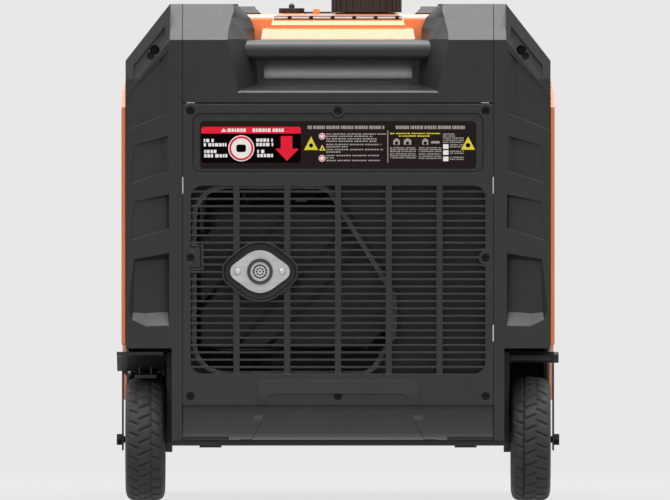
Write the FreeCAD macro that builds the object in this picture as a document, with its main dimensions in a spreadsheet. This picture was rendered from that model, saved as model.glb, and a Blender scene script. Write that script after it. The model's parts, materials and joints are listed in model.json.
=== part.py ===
"""Wheeled, closed-frame inverter generator, as a parametric FreeCAD document.

Row frame: +X to the right when facing the exhaust end, +Y from the exhaust end towards the
control panel, +Z up. The origin is on the floor, under the middle of the machine.
Lengths are millimetres. The driving sizes are in the spreadsheet Dims.
"""

import FreeCAD, Part

import math
import os

import Sketcher

doc = FreeCAD.newDocument("InverterGenerator")
sheet = doc.addObject("Spreadsheet::Sheet", "Dims")
NODES = {}

SIZES = [
    # overall shell
    ("half_length", 325, "middle to either end face of the shell"),
    ("frame_half_width", 253, "middle to the outer face of the side frames"),
    ("panel_half_width", 258, "middle to the outer face of the side panels"),
    ("seam_half_width", 185.5, "middle to the seam between side frame and end covers"),
    ("shoulder_top", 595, "floor to the top of the shoulders"),
    ("shoulder_base", 552, "floor to the foot of the sloped shoulder face"),
    ("shoulder_setback", 40, "depth of the sloped shoulder face"),
    ("shoulder_half_width", 200, "middle to where the corner slope starts"),
    ("corner_half_width", 250, "middle to where the corner slope ends"),
    ("corner_foot", 531, "floor to the lower end of the corner slope"),
    ("body_bottom", 75, "floor to the underside of the shell"),
    ("cowl_bottom", 477, "floor to the seam under the top cowls"),
    ("shell_wall", 3, "wall of the moulded shells"),
    ("pillar_depth", 16, "thickness of the corner pillars' end walls"),
    ("cover_gap", 0.5, "gap at each seam"),
    # hand grips in the cowls
    ("near_mouth_half", 133, "half width of the grip recess at the end face"),
    ("far_mouth_half", 112, "the same at the control end"),
    ("recess_half_width", 95, "half width of the grip recess at its back"),
    ("recess_depth", 55, "end face to where the recess walls run straight"),
    ("scoop_back", 68, "end face to the back of the finger scoop"),
    ("lip_height", 491, "floor to the front lip of the recess"),
    ("scoop_floor", 504, "floor to the bottom of the finger scoop"),
    ("cowl_length", 110, "length of a cowl along the machine"),
    ("saddle_height", 540, "height of the cowl behind the recess"),
    ("grip_radius", 12.2, "radius of the grip bars"),
    ("grip_height", 540, "floor to the axis of the grip bars"),
    ("grip_setback", 34, "end face to the axis of the grip bars"),
    # exhaust cover
    ("cover_thickness", 4, "thickness of the exhaust cover"),
    ("tuck_height", 117.5, "height where the cover steps in above its flared foot"),
    ("tuck_depth", 4.4, "how far it steps in there"),
    ("grille_half_width", 175.3, "half width of the grille window"),
    ("grille_top", 378.5, "top of the grille window"),
    ("grille_bottom", 154.7, "bottom of the grille window"),
    ("grille_corner", 14, "corner radius of the grille window"),
    ("slat_pitch", 8.7, "pitch of the slats"),
    ("slat_count", 25, "number of slats"),
    ("slat_height", 2.3, "height of one slat"),
    ("slat_depth", 6, "depth of the slats"),
    ("bar_pitch", 60.4, "pitch of the upright bars"),
    ("bar_count", 5, "number of upright bars"),
    ("bar_width", 7.4, "width of an upright bar"),
    ("outlet_x", -92.9, "exhaust outlet, across"),
    ("outlet_z", 276.3, "exhaust outlet, height"),
    ("port_half_width", 57.4, "half diagonal of the port rhombus, across"),
    ("port_half_height", 46.3, "half diagonal of the port rhombus, upright"),
    ("port_end_radius", 20, "corner radius at the port's ends"),
    ("port_mid_radius", 36, "corner radius at the port's top and bottom"),
    ("port_wall", 2, "wall of the port's rim"),
    ("flange_half_width", 43.2, "half diagonal of the flange rhombus, across"),
    ("flange_half_height", 31.4, "half diagonal of the flange rhombus, upright"),
    ("flange_end_radius", 11, "corner radius at the flange's ends"),
    ("flange_mid_radius", 25.4, "corner radius at the flange's top and bottom"),
    ("flange_thickness", 4, "thickness of the outlet flange"),
    ("flange_screw_half", 26.6, "outlet axis to either flange screw"),
    ("tail_radius", 15.2, "outer radius of the tail pipe"),
    ("arrestor_radius", 11.5, "radius of the spark arrestor"),
    ("screw_half_x", 175.6, "middle to the outer cover screws"),
    ("screw_top", 467.7, "height of the top cover screws"),
    ("screw_mid", 292.7, "height of the middle cover screws"),
    ("screw_low", 127.9, "height of the bottom cover screws"),
    ("screw_recess", 5, "radius of the screw recesses"),
    ("screw_head", 4.2, "radius of the screw heads"),
    ("label_half_width", 164.4, "half width of the label plate"),
    ("label_top", 455.3, "top of the label plate"),
    ("label_bottom", 399, "bottom of the label plate"),
    ("label_margin", 8, "label plate to the edge of its recess"),
    # wheels
    ("axle_y", -245, "wheel axle, along the machine"),
    ("wheel_radius", 75, "outer radius of the tyres"),
    ("wheel_x", 230, "middle to the centre plane of a wheel"),
    ("tyre_half_width", 23.5, "half width of a tyre"),
    ("rim_radius", 50, "seat of the tyre on the rim"),
    ("axle_radius", 4, "radius of the axle bolts"),
    ("bore_clearance", 0.05, "radial clearance of running fits"),
    ("arch_radius", 108, "radius of the wheel arches"),
    ("arch_inner", 198, "middle to the inner wall of the wheel wells"),
    ("well_top", 185, "height of the cut-out in the pillar above a wheel"),
    ("strap_thickness", 2, "sheet of the wheel forks"),
    ("strap_half_width", 13, "half width of a fork leg"),
    ("inner_leg_x", 201, "middle to the inner face of the fork's inner leg"),
    ("fork_bar_low", 166.5, "underside of the fork's cross bar"),
    ("fork_bar_high", 179.7, "top of the fork's cross bar"),
    ("fork_bar_reach", 263.5, "middle to the outer end of the cross bar"),
    # brake
    ("brake_pin_y", -252, "brake pivot, along the machine"),
    ("brake_pin_z", 156.7, "brake pivot, height"),
    ("brake_pin_radius", 2, "radius of the brake pivot pin"),
    # top cover and filler
    ("top_cover_height", 583, "floor to the crown of the top cover"),
    ("boss_height", 585, "floor to the top of the cover's round bosses"),
    ("top_cover_half", 262, "half length of the top cover"),
    ("cap_x", 34.5, "filler, across"),
    ("cap_radius", 42.5, "radius of the fuel cap"),
    ("cap_low", 586.5, "underside of the fuel cap"),
    ("cap_high", 621, "top of the fuel cap"),
    ("neck_radius", 26, "radius of the filler neck"),
    ("anchor_x", -56, "tether anchor, across"),
    # engine and alternator
    ("crank_z", 205, "height of the crankshaft axis"),
    ("crank_radius", 12, "radius of the crankshaft"),
    ("cylinder_tilt", -25, "lean of the cylinder from upright, degrees"),
    ("rotor_radius", 84, "outer radius of the rotor"),
    ("stator_radius", 74, "outer radius of the stator"),
    ("fan_radius", 94, "radius of the cooling fan"),
    ("shroud_radius", 100, "inner radius of the fan shroud"),
    ("pulley_radius", 55, "radius at which the starter rope leaves its pulley"),
    ("starter_y", 165, "starter pulley, along the machine"),
    ("rope_radius", 2.5, "radius of the starter rope"),
    # pull-out handle
    ("tow_x", 62, "middle to a tube of the pull-out handle"),
    ("tow_radius", 8, "radius of its tubes"),
    ("tow_bottom", 130, "lower end of its tubes"),
    # control panel
    ("panel_face", 12, "end face to the recessed face of the control panel"),
    ("socket_z", 210, "height of the lower sockets"),
]


class Size:
    """A length that carries both its value and the spreadsheet formula it comes from."""

    def __init__(self, value, text):
        self.value = float(value)
        self.text = text

    def _with(self, other, sign, swap=False):
        other = other if isinstance(other, Size) else Size(other, repr(float(other)))
        left, right = (other, self) if swap else (self, other)
        value = {
            "+": left.value + right.value,
            "-": left.value - right.value,
            "*": left.value * right.value,
        }[sign]
        return Size(value, f"({left.text} {sign} {right.text})")

    def __add__(self, other):
        return self._with(other, "+")

    def __radd__(self, other):
        return self._with(other, "+", True)

    def __sub__(self, other):
        return self._with(other, "-")

    def __rsub__(self, other):
        return self._with(other, "-", True)

    def __mul__(self, other):
        return self._with(other, "*")

    def __rmul__(self, other):
        return self._with(other, "*", True)

    def __neg__(self):
        return self._with(-1, "*")


class Sizes:
    """The spreadsheet's cells by alias."""


d = Sizes()
for row, (alias, value, meaning) in enumerate(SIZES, start=1):
    sheet.set(f"A{row}", alias)
    sheet.set(f"B{row}", str(value))
    sheet.set(f"C{row}", meaning)
    sheet.setAlias(f"B{row}", alias)
    setattr(d, alias, Size(value, f"Dims.{alias}"))
doc.recompute()


def number(size):
    """The value of a Size, or of a plain number."""
    return size.value if isinstance(size, Size) else float(size)


def bind(thing, prop, size):
    """Sets a property, by formula where the size comes from the sheet."""
    if isinstance(size, Size):
        thing.setExpression(prop, size.text)
        return
    owner, steps = thing, prop.strip(".").split(".")
    if steps[0] == "Placement":
        base = thing.Placement.Base
        setattr(base, steps[-1], float(size))
        thing.Placement = FreeCAD.Placement(base, thing.Placement.Rotation)
    else:
        setattr(owner, prop, float(size))


def place(thing, x=0, y=0, z=0, axis=None, angle=0):
    """Puts an object at a point, turned about an axis through that point."""
    if axis is not None:
        thing.Placement = FreeCAD.Placement(
            FreeCAD.Vector(0, 0, 0), FreeCAD.Rotation(FreeCAD.Vector(*axis), angle)
        )
    for letter, size in (("x", x), ("y", y), ("z", z)):
        bind(thing, f".Placement.Base.{letter}", size)
    return thing


def node(thing, name):
    """Marks an object as a sub-part: its label names its file."""
    thing.Label = name
    NODES[name] = thing
    return thing


# ---------------------------------------------------------------- primitives and booleans


def box(x, y, z, name="Block"):
    """A block from three (low, high) pairs."""
    thing = doc.addObject("Part::Box", name)
    for prop, (low, high) in (("Length", x), ("Width", y), ("Height", z)):
        bind(thing, prop, high - low)
    return place(thing, x[0], y[0], z[0])


TURNS = {"x": ((0, 1, 0), 90), "y": ((1, 0, 0), -90), "z": ((0, 0, 1), 0)}


def rod(axis, radius, start, length, name="Rod"):
    """A cylinder along a row axis, from its start point."""
    thing = doc.addObject("Part::Cylinder", name)
    bind(thing, "Radius", radius)
    bind(thing, "Height", length)
    turn_axis, angle = TURNS[axis]
    return place(thing, *start, axis=turn_axis, angle=angle)


def cone(start, low_radius, high_radius, height, name="Cone"):
    """A cone frustum that stands on its start point."""
    thing = doc.addObject("Part::Cone", name)
    for prop, size in (("Radius1", low_radius), ("Radius2", high_radius), ("Height", height)):
        bind(thing, prop, size)
    return place(thing, *start)


def ball(radius, centre, name="Ball"):
    thing = doc.addObject("Part::Sphere", name)
    bind(thing, "Radius", radius)
    return place(thing, *centre)


def fuse(*things, name="Joined"):
    joined = doc.addObject("Part::MultiFuse", name)
    joined.Shapes = list(things)
    return joined


def cut(base, *tools, name="Trimmed"):
    trimmed = doc.addObject("Part::Cut", name)
    trimmed.Base = base
    trimmed.Tool = tools[0] if len(tools) == 1 else fuse(*tools, name="Tools")
    return trimmed


def common(first, second, name="Shared"):
    shared = doc.addObject("Part::Common", name)
    shared.Base = first
    shared.Tool = second
    return shared


def group(*things, name="Group"):
    """Separate solids that share one node."""
    together = doc.addObject("Part::Compound", name)
    together.Links = list(things)
    return together


def mirrored(thing, name="Mirrored", normal=(1, 0, 0)):
    """The same piece on the other side of the machine."""
    other = doc.addObject("Part::Mirroring", name)
    other.Source = thing
    other.Base = FreeCAD.Vector(0, 0, 0)
    other.Normal = FreeCAD.Vector(*normal)
    return other


def rounded(thing, radius, choose, name="Rounded"):
    """A fillet on the edges that choose() picks."""
    doc.recompute()
    softened = doc.addObject("Part::Fillet", name)
    softened.Base = thing
    edges = [
        (i, number(radius), number(radius))
        for i, edge in enumerate(thing.Shape.Edges, start=1)
        if choose(edge)
    ]
    softened.Edges = edges
    return softened


def runs_along(axis):
    """Picks straight edges along a row axis."""
    index = "xyz".index(axis)

    def choose(edge):
        if not isinstance(edge.Curve, Part.Line):
            return False
        step = edge.Vertexes[-1].Point - edge.Vertexes[0].Point
        return abs(abs(step[index]) - step.Length) < 1e-6 and step.Length > 0

    return choose


# ---------------------------------------------------------------- sketches and bodies

PLANES = {"xy": "XY_Plane", "xz": "XZ_Plane", "yz": "YZ_Plane"}
NORMAL_SIGN = {"xy": 1, "xz": -1, "yz": 1}


def draw(sketch, loops):
    """Draws closed loops, with every corner and radius fixed by a dimension.

    A loop is a list of (across, up) corners, or ("circle", across, up, radius).
    """
    for loop in loops:
        first = sketch.GeometryCount
        if loop[0] == "circle":
            _, across, up, radius = loop
            centre = FreeCAD.Vector(number(across), number(up), 0)
            sketch.addGeometry(
                Part.Circle(centre, FreeCAD.Vector(0, 0, 1), number(radius)), False
            )
            fix_point(sketch, first, 3, across, up)
            rule = Sketcher.Constraint("Radius", first, number(radius))
            index = sketch.addConstraint(rule)
            if isinstance(radius, Size):
                sketch.setExpression(f"Constraints[{index}]", radius.text)
            continue
        corners = [FreeCAD.Vector(number(a), number(u), 0) for a, u in loop]
        for i, corner in enumerate(corners):
            line = Part.LineSegment(corner, corners[(i + 1) % len(corners)])
            sketch.addGeometry(line, False)
        for i in range(len(corners)):
            after = first + (i + 1) % len(corners)
            sketch.addConstraint(
                Sketcher.Constraint("Coincident", first + i, 2, after, 1)
            )
        for i, (across, up) in enumerate(loop):
            fix_point(sketch, first + i, 1, across, up)


def fix_point(sketch, geometry, end, across, up):
    """Dimensions a point from the sketch's origin."""
    for kind, size in (("DistanceX", across), ("DistanceY", up)):
        rule = Sketcher.Constraint(kind, -1, 1, geometry, end, number(size))
        index = sketch.addConstraint(rule)
        if isinstance(size, Size):
            sketch.setExpression(f"Constraints[{index}]", size.text)


class Piece:
    """A PartDesign body built up feature by feature."""

    def __init__(self, name):
        self.body = doc.addObject("PartDesign::Body", name)
        self.name = name

    def sketch(self, plane, loops, level=0):
        """A sketch on a body plane, moved to a level along the row axis across it."""
        sketch = self.body.newObject("Sketcher::SketchObject", self.name + "Sketch")
        origin = [
            f for f in self.body.Origin.OriginFeatures if f.Role == PLANES[plane]
        ]
        sketch.AttachmentSupport = [(origin[0], "")]
        sketch.MapMode = "FlatFace"
        offset = level * NORMAL_SIGN[plane]
        if isinstance(offset, Size):
            sketch.setExpression(".AttachmentOffset.Base.z", offset.text)
        else:
            sketch.AttachmentOffset = FreeCAD.Placement(
                FreeCAD.Vector(0, 0, offset), FreeCAD.Rotation()
            )
        draw(sketch, loops)
        return sketch

    def _straight(self, kind, plane, loops, low, high):
        """A pad or pocket that fills low to high along the row axis across the plane."""
        level = low if NORMAL_SIGN[plane] > 0 else high
        feature = self.body.newObject(kind, self.name + kind.split("::")[1])
        feature.Profile = self.sketch(plane, loops, level)
        bind(feature, "Length", high - low)
        if kind.endswith("Pocket"):
            feature.Reversed = True
        self.last = feature
        return self

    def pad(self, plane, loops, low, high):
        return self._straight("PartDesign::Pad", plane, loops, low, high)

    def pocket(self, plane, loops, low, high):
        doc.recompute()
        return self._straight("PartDesign::Pocket", plane, loops, low, high)

    def turn(self, plane, axis, loop, kind="Revolution"):
        """A revolved feature about the sketch's H_Axis or V_Axis."""
        if kind == "Groove":
            doc.recompute()
        feature = self.body.newObject("PartDesign::" + kind, self.name + kind)
        sketch = self.sketch(plane, [loop])
        feature.Profile = sketch
        feature.ReferenceAxis = (sketch, [axis])
        feature.Angle = 360
        self.last = feature
        return self

    def repeat(self, axis, length, count, polar=False):
        """Repeats the last feature along, or round, an axis of the body."""
        doc.recompute()
        kind = "PolarPattern" if polar else "LinearPattern"
        pattern = self.body.newObject("PartDesign::" + kind, self.name + kind)
        pattern.Originals = [self.last]
        lines = [f for f in self.body.Origin.OriginFeatures if f.Role == axis]
        if polar:
            pattern.Axis = (lines[0], [""])
            pattern.Angle = 360
        else:
            pattern.Direction = (lines[0], [""])
            bind(pattern, "Length", length)
        pattern.Occurrences = int(number(count))
        self.body.Tip = pattern
        return self

    def fillet(self, radius, choose):
        """Rounds the edges of the newest feature's shape that choose() picks."""
        doc.recompute()
        base = self.body.Tip
        names = [
            f"Edge{i}"
            for i, edge in enumerate(base.Shape.Edges, start=1)
            if choose(edge)
        ]
        feature = self.body.newObject("PartDesign::Fillet", self.name + "Fillet")
        feature.Base = (base, names)
        bind(feature, "Radius", radius)
        return self


def rectangle(across, up):
    """The corners of an upright rectangle, from two (low, high) pairs."""
    return [
        (across[0], up[0]),
        (across[1], up[0]),
        (across[1], up[1]),
        (across[0], up[1]),
    ]


def near(x, y, z, reach=1.0):
    """Picks edges whose middle is close to an (x, y, z) point; None means anywhere."""

    def choose(edge):
        middle = edge.valueAt((edge.FirstParameter + edge.LastParameter) / 2)
        wanted = zip(middle, (x, y, z))
        return all(w is None or abs(m - number(w)) < reach for m, w in wanted)

    return choose


def both(*choosers):
    return lambda edge: all(choose(edge) for choose in choosers)


def tube(axis, outer, inner, start, length, name="Tube"):
    """A pipe along a row axis."""
    return cut(
        rod(axis, outer, start, length), rod(axis, inner, start, length), name=name
    )


def prism(plane, corners, low, high, name="Prism"):
    """A straight block over a closed outline, filling low to high across the plane."""
    return Piece(name).pad(plane, [corners], low, high).body


LOFT_TURNS = {
    "xy": ((0, 0, 1), 0, "z"),
    "xz": ((1, 0, 0), 90, "y"),
    "yz": ((1, 1, 1), 120, "x"),
}


def loft(plane, sections, name="Loft"):
    """A straight-sided solid through (level, outline) sections parallel to a plane."""
    axis, angle, letter = LOFT_TURNS[plane]
    outlines = []
    for level, corners in sections:
        sketch = doc.addObject("Sketcher::SketchObject", name + "Section")
        draw(sketch, [corners])
        place(sketch, **{letter: level, "axis": axis, "angle": angle})
        outlines.append(sketch)
    thing = doc.addObject("Part::Loft", name)
    thing.Sections = outlines
    thing.Solid = True
    thing.Ruled = True
    return thing


def hexagon(flats):
    """The corners of a hexagon by its width across flats, round the sketch's origin."""
    reach = number(flats) / math.sqrt(3)
    turns = [math.radians(60 * i) for i in range(6)]
    return [(reach * math.cos(t), reach * math.sin(t)) for t in turns]


def symmetric(side):
    """A closed outline from its right half, listed downwards."""
    return side + [(-across, up) for across, up in reversed(side)]


def rhombus(a, b, x=0, z=0):
    """The corners of a rhombus by its half diagonals."""
    return [(x + a, z), (x, z + b), (x - a, z), (x, z - b)]


# ---------------------------------------------------------------- side frames

near_end = -d.half_length
far_end = d.half_length
slope_foot = [
    (d.seam_half_width, d.body_bottom),
    (d.seam_half_width, d.shoulder_base),
    (d.shoulder_half_width, d.shoulder_base),
    (d.corner_half_width - 4, d.corner_foot - 36),
    (d.frame_half_width - 0.8, d.corner_foot - 50),
    (d.frame_half_width - 0.4, d.body_bottom),
]
slope_head = [
    (d.seam_half_width, d.body_bottom),
    (d.seam_half_width, d.shoulder_top),
    (d.shoulder_half_width, d.shoulder_top),
    (d.corner_half_width, d.corner_foot),
    (d.frame_half_width, d.corner_foot - 4),
    (d.frame_half_width, d.body_bottom),
]
hollow_foot = [
    (d.seam_half_width - 5, d.body_bottom + 3),
    (d.seam_half_width - 5, d.shoulder_base + 12.5),
    (d.shoulder_half_width - 1.5, d.shoulder_base + 12.5),
    (d.corner_half_width - 6, d.corner_foot - 24),
    (d.frame_half_width - 4.5, d.corner_foot - 33),
    (d.frame_half_width - 4.5, d.body_bottom + 3),
]
hollow_head = [
    (d.seam_half_width - 5, d.body_bottom + 3),
    (d.seam_half_width - 5, d.shoulder_top - 3),
    (d.shoulder_half_width - 1.5, d.shoulder_top - 3),
    (d.corner_half_width - 3, d.corner_foot - 1),
    (d.frame_half_width - 3, d.corner_foot - 6),
    (d.frame_half_width - 3, d.body_bottom + 3),
]
corner_recess = [
    (206, 568),
    (206, 556),
    (243.5, 507),
    (243.5, 521),
]
guard_outline = [
    (d.shoulder_half_width, 480),
    (d.frame_half_width - 0.3, 480),
    (d.frame_half_width - 0.1, d.corner_foot - 4),
    (d.corner_half_width, d.corner_foot),
    (d.shoulder_half_width, d.shoulder_top),
]
guard_side = [
    (near_end + 0.15, 480),
    (near_end + 0.15, 506),
    (near_end + 16, d.shoulder_top),
    (near_end + d.shoulder_setback + 1, d.shoulder_top),
    (near_end + d.shoulder_setback + 1, 480),
]
guard_floor = [
    (near_end - 2, 490),
    (near_end + 4.4, 490),
    (near_end + 4.4, 506),
    (near_end + 20.4, d.shoulder_top),
    (near_end - 2, d.shoulder_top),
]
PILLAR_RECESSES = [
    # outline at the face, outline at the floor, floor line as (across, depth)
    (
        [(200.5, 541), (246, 493), (251.7, 478), (251.7, 444.5), (200.5, 465)],
        [(200.5, 541), (246, 493), (251.7, 478), (251.7, 447), (200.5, 468.5)],
        [(200.5, -0.1), (212, 4), (252, 1), (252, -0.1)],
    ),
    (
        [(201, 438.3), (243, 426.4), (247, 381), (201, 396)],
        [(201, 435.5), (243, 424.6), (247, 383.4), (201, 399)],
        [(201, -0.1), (211, 6), (247, 0.8), (248, -0.1)],
    ),
    (
        [(201, 368.4), (242.5, 359.4), (247, 313), (201, 327.5)],
        [(201, 363), (242.5, 356.4), (247, 316), (201, 331)],
        [(201, -0.1), (203.5, 7), (247, 0.8), (248, -0.1)],
    ),
    (
        [(201, 298.5), (242.5, 291), (249, 233), (245, 219), (228.5, 211), (201, 212)],
        [(201, 291), (242.5, 287), (247, 236), (244, 235), (228, 232), (201, 228)],
        [(201, -0.1), (203, 13), (243, 7.5), (249, 2), (250, -0.1)],
    ),
]
RECESS_DEPTH = 13


def pillar_recess(outline, floor, line):
    """One wedge-floored recess in the exhaust end of the right pillar."""
    funnel = loft(
        "xz", [(near_end - 0.1, outline), (near_end + RECESS_DEPTH, floor)], "RecessFunnel"
    )
    wedge = prism("xy", [(x, near_end + y) for x, y in line], 200, 560, "RecessWedge")
    return common(funnel, wedge, name="PillarRecess")


def frame_solid(inset=0):
    """The side frame's outer form, set in evenly along X, Y and Z."""
    foot = [(x, z - inset) for x, z in slope_foot]
    head = [(x, z - inset) for x, z in slope_head]
    levels = [
        (near_end + inset, foot),
        (near_end + d.shoulder_setback + inset, head),
        (far_end - d.shoulder_setback - inset, head),
        (far_end - inset, foot),
    ]
    return loft("xz", levels, "FrameForm")


def side_frame():
    """The right side frame: two pillars, a shoulder rail and a sill, moulded as one."""
    hollow = loft(
        "xz",
        [
            (near_end + d.pillar_depth, hollow_foot),
            (near_end + d.shoulder_setback + 3, hollow_head),
            (far_end - d.shoulder_setback - 3, hollow_head),
            (far_end - d.pillar_depth, hollow_foot),
        ],
        "FrameHollow",
    )
    bosses = [
        box((197, 252), (near_end, near_end + 42), (480, 580), "CornerBoss"),
        box((197, 252), (far_end - 42, far_end), (480, 580), "CornerBoss"),
        box(
            (d.seam_half_width - 6, d.arch_inner),
            (near_end, d.axle_y + d.arch_radius + 3),
            (d.body_bottom, d.well_top + 3),
            "WellWall",
        ),
    ]
    guard = common(
        prism("xz", guard_outline, near_end, near_end + d.shoulder_setback + 1, "GuardFront"),
        prism("yz", guard_side, 190, 265, "GuardSide"),
        name="CornerGuard",
    )
    shell = fuse(
        cut(frame_solid(), cut(hollow, *bosses, name="Hollow"), name="FrameShell"),
        guard,
        mirrored(guard, "FarGuard", (0, 1, 0)),
        name="GuardedShell",
    )
    recess = common(
        prism("xz", corner_recess, near_end - 2, near_end + 16, "CornerRecess"),
        prism("yz", guard_floor, 190, 265, "RecessFloor"),
        name="CornerPocket",
    )
    pockets = [recess, mirrored(recess, "FarPocket", (0, 1, 0))]
    for outline, floor, line in PILLAR_RECESSES:
        recess = pillar_recess(outline, floor, line)
        pockets.append(recess)
        pockets.append(mirrored(recess, "FarRecess", (0, 1, 0)))
    # wheel well, side opening and the passage for the starter rope
    pockets.append(
        box((d.arch_inner, 262), (near_end - 2, d.axle_y), (60, d.well_top), "WellFront")
    )
    pockets.append(
        rod("x", d.arch_radius, (d.arch_inner, d.axle_y, d.wheel_radius), 64, "WellArch")
    )
    pockets.append(box((248, 262), (-118, 262), (140, 470), "SideOpening"))
    # bolt holes for the wheel fork and the screw in each corner recess
    for y in (d.axle_y - 9, d.axle_y + 9):
        pockets.append(rod("x", 3.2, (180, y, 173), 30, "ForkHole"))
    pockets.append(rod("x", d.axle_radius + 0.4, (180, d.axle_y, d.wheel_radius), 30, "AxleHole"))
    for start, seat in ((near_end - 1, near_end - 1), (far_end - 59, far_end - 19)):
        pockets.append(rod("y", 2.6, (218, start, 540), 60, "CornerHole"))
        pockets.append(rod("y", 5.6, (218, seat, 540), 20, "ScrewSeat"))
        pockets.append(rod("y", 4.4, (223, seat, 532.6), 20, "SlotEnd"))
    return cut(shell, *pockets, name="SideFrame")


right_frame = node(side_frame(), "right_side_frame")
node(mirrored(right_frame, "LeftFrame"), "left_side_frame")


# ---------------------------------------------------------------- top cowls and grips


def recess_back(narrow):
    """The right half of the recess where its walls run straight back, from the top down."""
    back = d.recess_half_width - narrow
    return [(back + 25.5, 600), (back + 24, 593), (back + 10, 579), (back + 5, 566), (back + 4.5, 553)]


def grip_recess(mouth, narrow):
    """The splayed recess of a cowl; narrow brings its back in at the control end."""
    front = [
        (mouth + 11, 600),
        (mouth + 14, 593),
        (mouth + 17, 579),
        (mouth + 11, 566),
        (mouth, 553),
        (mouth - 13.5, d.lip_height),
    ]
    middle = [
        (mouth - 3, 600),
        (mouth - 4, 593),
        (mouth - 6, 579),
        (mouth - 15, 566),
        (mouth - 23, 553),
        (mouth - 30, d.lip_height + 5.6),
    ]
    back = recess_back(narrow) + [(d.recess_half_width + 1 - narrow, d.scoop_floor - 1)]
    levels = [
        (near_end - 1, symmetric(front)),
        (near_end + 25, symmetric(middle)),
        (near_end + d.recess_depth, symmetric(back)),
    ]
    return loft("xz", levels, "GripRecess")


def saddle_outline(narrow):
    return symmetric(recess_back(narrow) + [(d.recess_half_width + 3 - narrow, d.saddle_height)])


def cowl(mouth, narrow):
    """A moulded cowl at the exhaust end, with shoulders, grip recess and saddle."""
    edge = d.seam_half_width - d.cover_gap
    rear = near_end + d.cowl_length
    base = d.cowl_bottom + d.cover_gap
    body = prism(
        "yz",
        [
            (near_end, base),
            (near_end, d.shoulder_base),
            (near_end + d.shoulder_setback, d.shoulder_top),
            (rear - 7, d.shoulder_top),
            (rear, d.shoulder_top - 8),
            (rear, base),
        ],
        -edge,
        edge,
        "CowlBlock",
    )
    scoop_y = near_end + d.scoop_back - 28
    half = d.recess_half_width - 6.5 - narrow
    scoop = rod("x", 28, (-half, scoop_y, d.scoop_floor + 26), half * 2, "Scoop")
    saddle = prism(
        "xz", saddle_outline(narrow), near_end + d.recess_depth - 0.01, rear + 1, "Saddle"
    )
    shoulders = []
    for low, high in ((140, edge - 3), (3 - edge, -140)):
        shoulders.append(
            prism(
                "yz",
                [
                    (near_end + 3, base - 5),
                    (near_end + 3, d.shoulder_base - 2),
                    (near_end + d.shoulder_setback + 1, d.shoulder_top - 3),
                    (rear - 9, d.shoulder_top - 3),
                    (rear - 1, d.shoulder_top - 12),
                    (rear + 1, d.shoulder_top - 12),
                    (rear + 1, base - 5),
                ],
                low,
                high,
                "ShoulderHollow",
            )
        )
    under = box((-140.01, 140.01), (near_end + 3, rear + 1), (base - 5, d.lip_height - 3), "Under")
    behind = box(
        (-half, half), (near_end + d.scoop_back + 3, rear + 1), (base - 5, d.saddle_height - 3),
        "BehindScoop",
    )
    lip = [
        (near_end - 0.5, d.lip_height - 2.4),
        (near_end + 1.9, d.lip_height + 0.6),
        (near_end - 0.5, d.lip_height + 1.4),
    ]
    lip_edge = prism("yz", lip, 13.2 - mouth, mouth - 13.2, "LipEdge")
    hollows = [scoop, saddle, under, behind, lip_edge, *shoulders]
    return cut(body, grip_recess(mouth, narrow), *hollows, name="Cowl")


def grip_bar(mouth, narrow):
    """A straight bar that ends exactly on the flanks of its recess."""
    bar = rod(
        "x",
        d.grip_radius,
        (-130, near_end + d.grip_setback, d.grip_height),
        260,
        "GripRod",
    )
    return common(bar, grip_recess(mouth, narrow), name="GripBar")


node(cowl(d.near_mouth_half, 0), "rear_cowl")
node(grip_bar(d.near_mouth_half, 0), "rear_handle")
far_cowl = cut(
    cowl(d.far_mouth_half, 18),
    *[
        rod("z", d.tow_radius + 2.3, (x, near_end + 85, d.cowl_bottom - 5), 80, "TowHole")
        for x in (-d.tow_x, d.tow_x)
    ],
    name="FarCowl",
)
for made, name in ((far_cowl, "front_cowl"), (grip_bar(d.far_mouth_half, 18), "front_handle")):
    made.Placement = FreeCAD.Placement(
        FreeCAD.Vector(0, 0, 0), FreeCAD.Rotation(FreeCAD.Vector(0, 0, 1), 180)
    )
    node(made, name)


# ---------------------------------------------------------------- exhaust end

cover_half = d.seam_half_width - d.cover_gap
skin = near_end + d.cover_thickness
# the flared foot of the cover, as (in from the end face, down from the step)
FOOT_FLARE = [
    (4.3, 5.5), (3.4, 17.5), (2.1, 29.5), (1.3, 34.5), (0.5, 37.5), (-0.3, 39.5), (-1.3, 41.3)
]
cover = Piece("CoverSkin")
cover.pad(
    "yz",
    [
        [
            (near_end, d.cowl_bottom - 1.6),
            (near_end, d.tuck_height),
            (near_end + d.tuck_depth, d.tuck_height - 0.6),
            *[(near_end + out, d.tuck_height - down) for out, down in FOOT_FLARE],
            (near_end - 1.3, d.body_bottom + 0.5),
            (near_end + 5, d.body_bottom + 0.5),
            *[(near_end + out + 3.6, d.tuck_height - down) for out, down in FOOT_FLARE[3::-1]],
            (near_end + d.tuck_depth + 3.6, d.tuck_height + 3),
            (skin, d.tuck_height + 3),
            (skin, d.cowl_bottom - 0.7),
            (near_end + 0.9, d.cowl_bottom - 0.7),
        ]
    ],
    -cover_half,
    cover_half,
)
cover.pocket(
    "xz",
    [
        rectangle(
            (-d.grille_half_width, d.grille_half_width), (d.grille_bottom, d.grille_top)
        )
    ],
    near_end - 1,
    skin + 1,
)
cover.fillet(d.grille_corner, both(runs_along("y"), lambda e: abs(e.valueAt(0).x) < 180))
recess_half = d.label_half_width + d.label_margin
cover.pocket(
    "xz",
    [rectangle((-recess_half, recess_half), (d.label_bottom - 4.6, d.label_top + 9))],
    near_end - 1,
    near_end + 1.2,
)
cover.fillet(
    9, both(runs_along("y"), near(None, -324.4, None, 1), lambda e: 165 < abs(e.valueAt(0).x) < 184)
)


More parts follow.
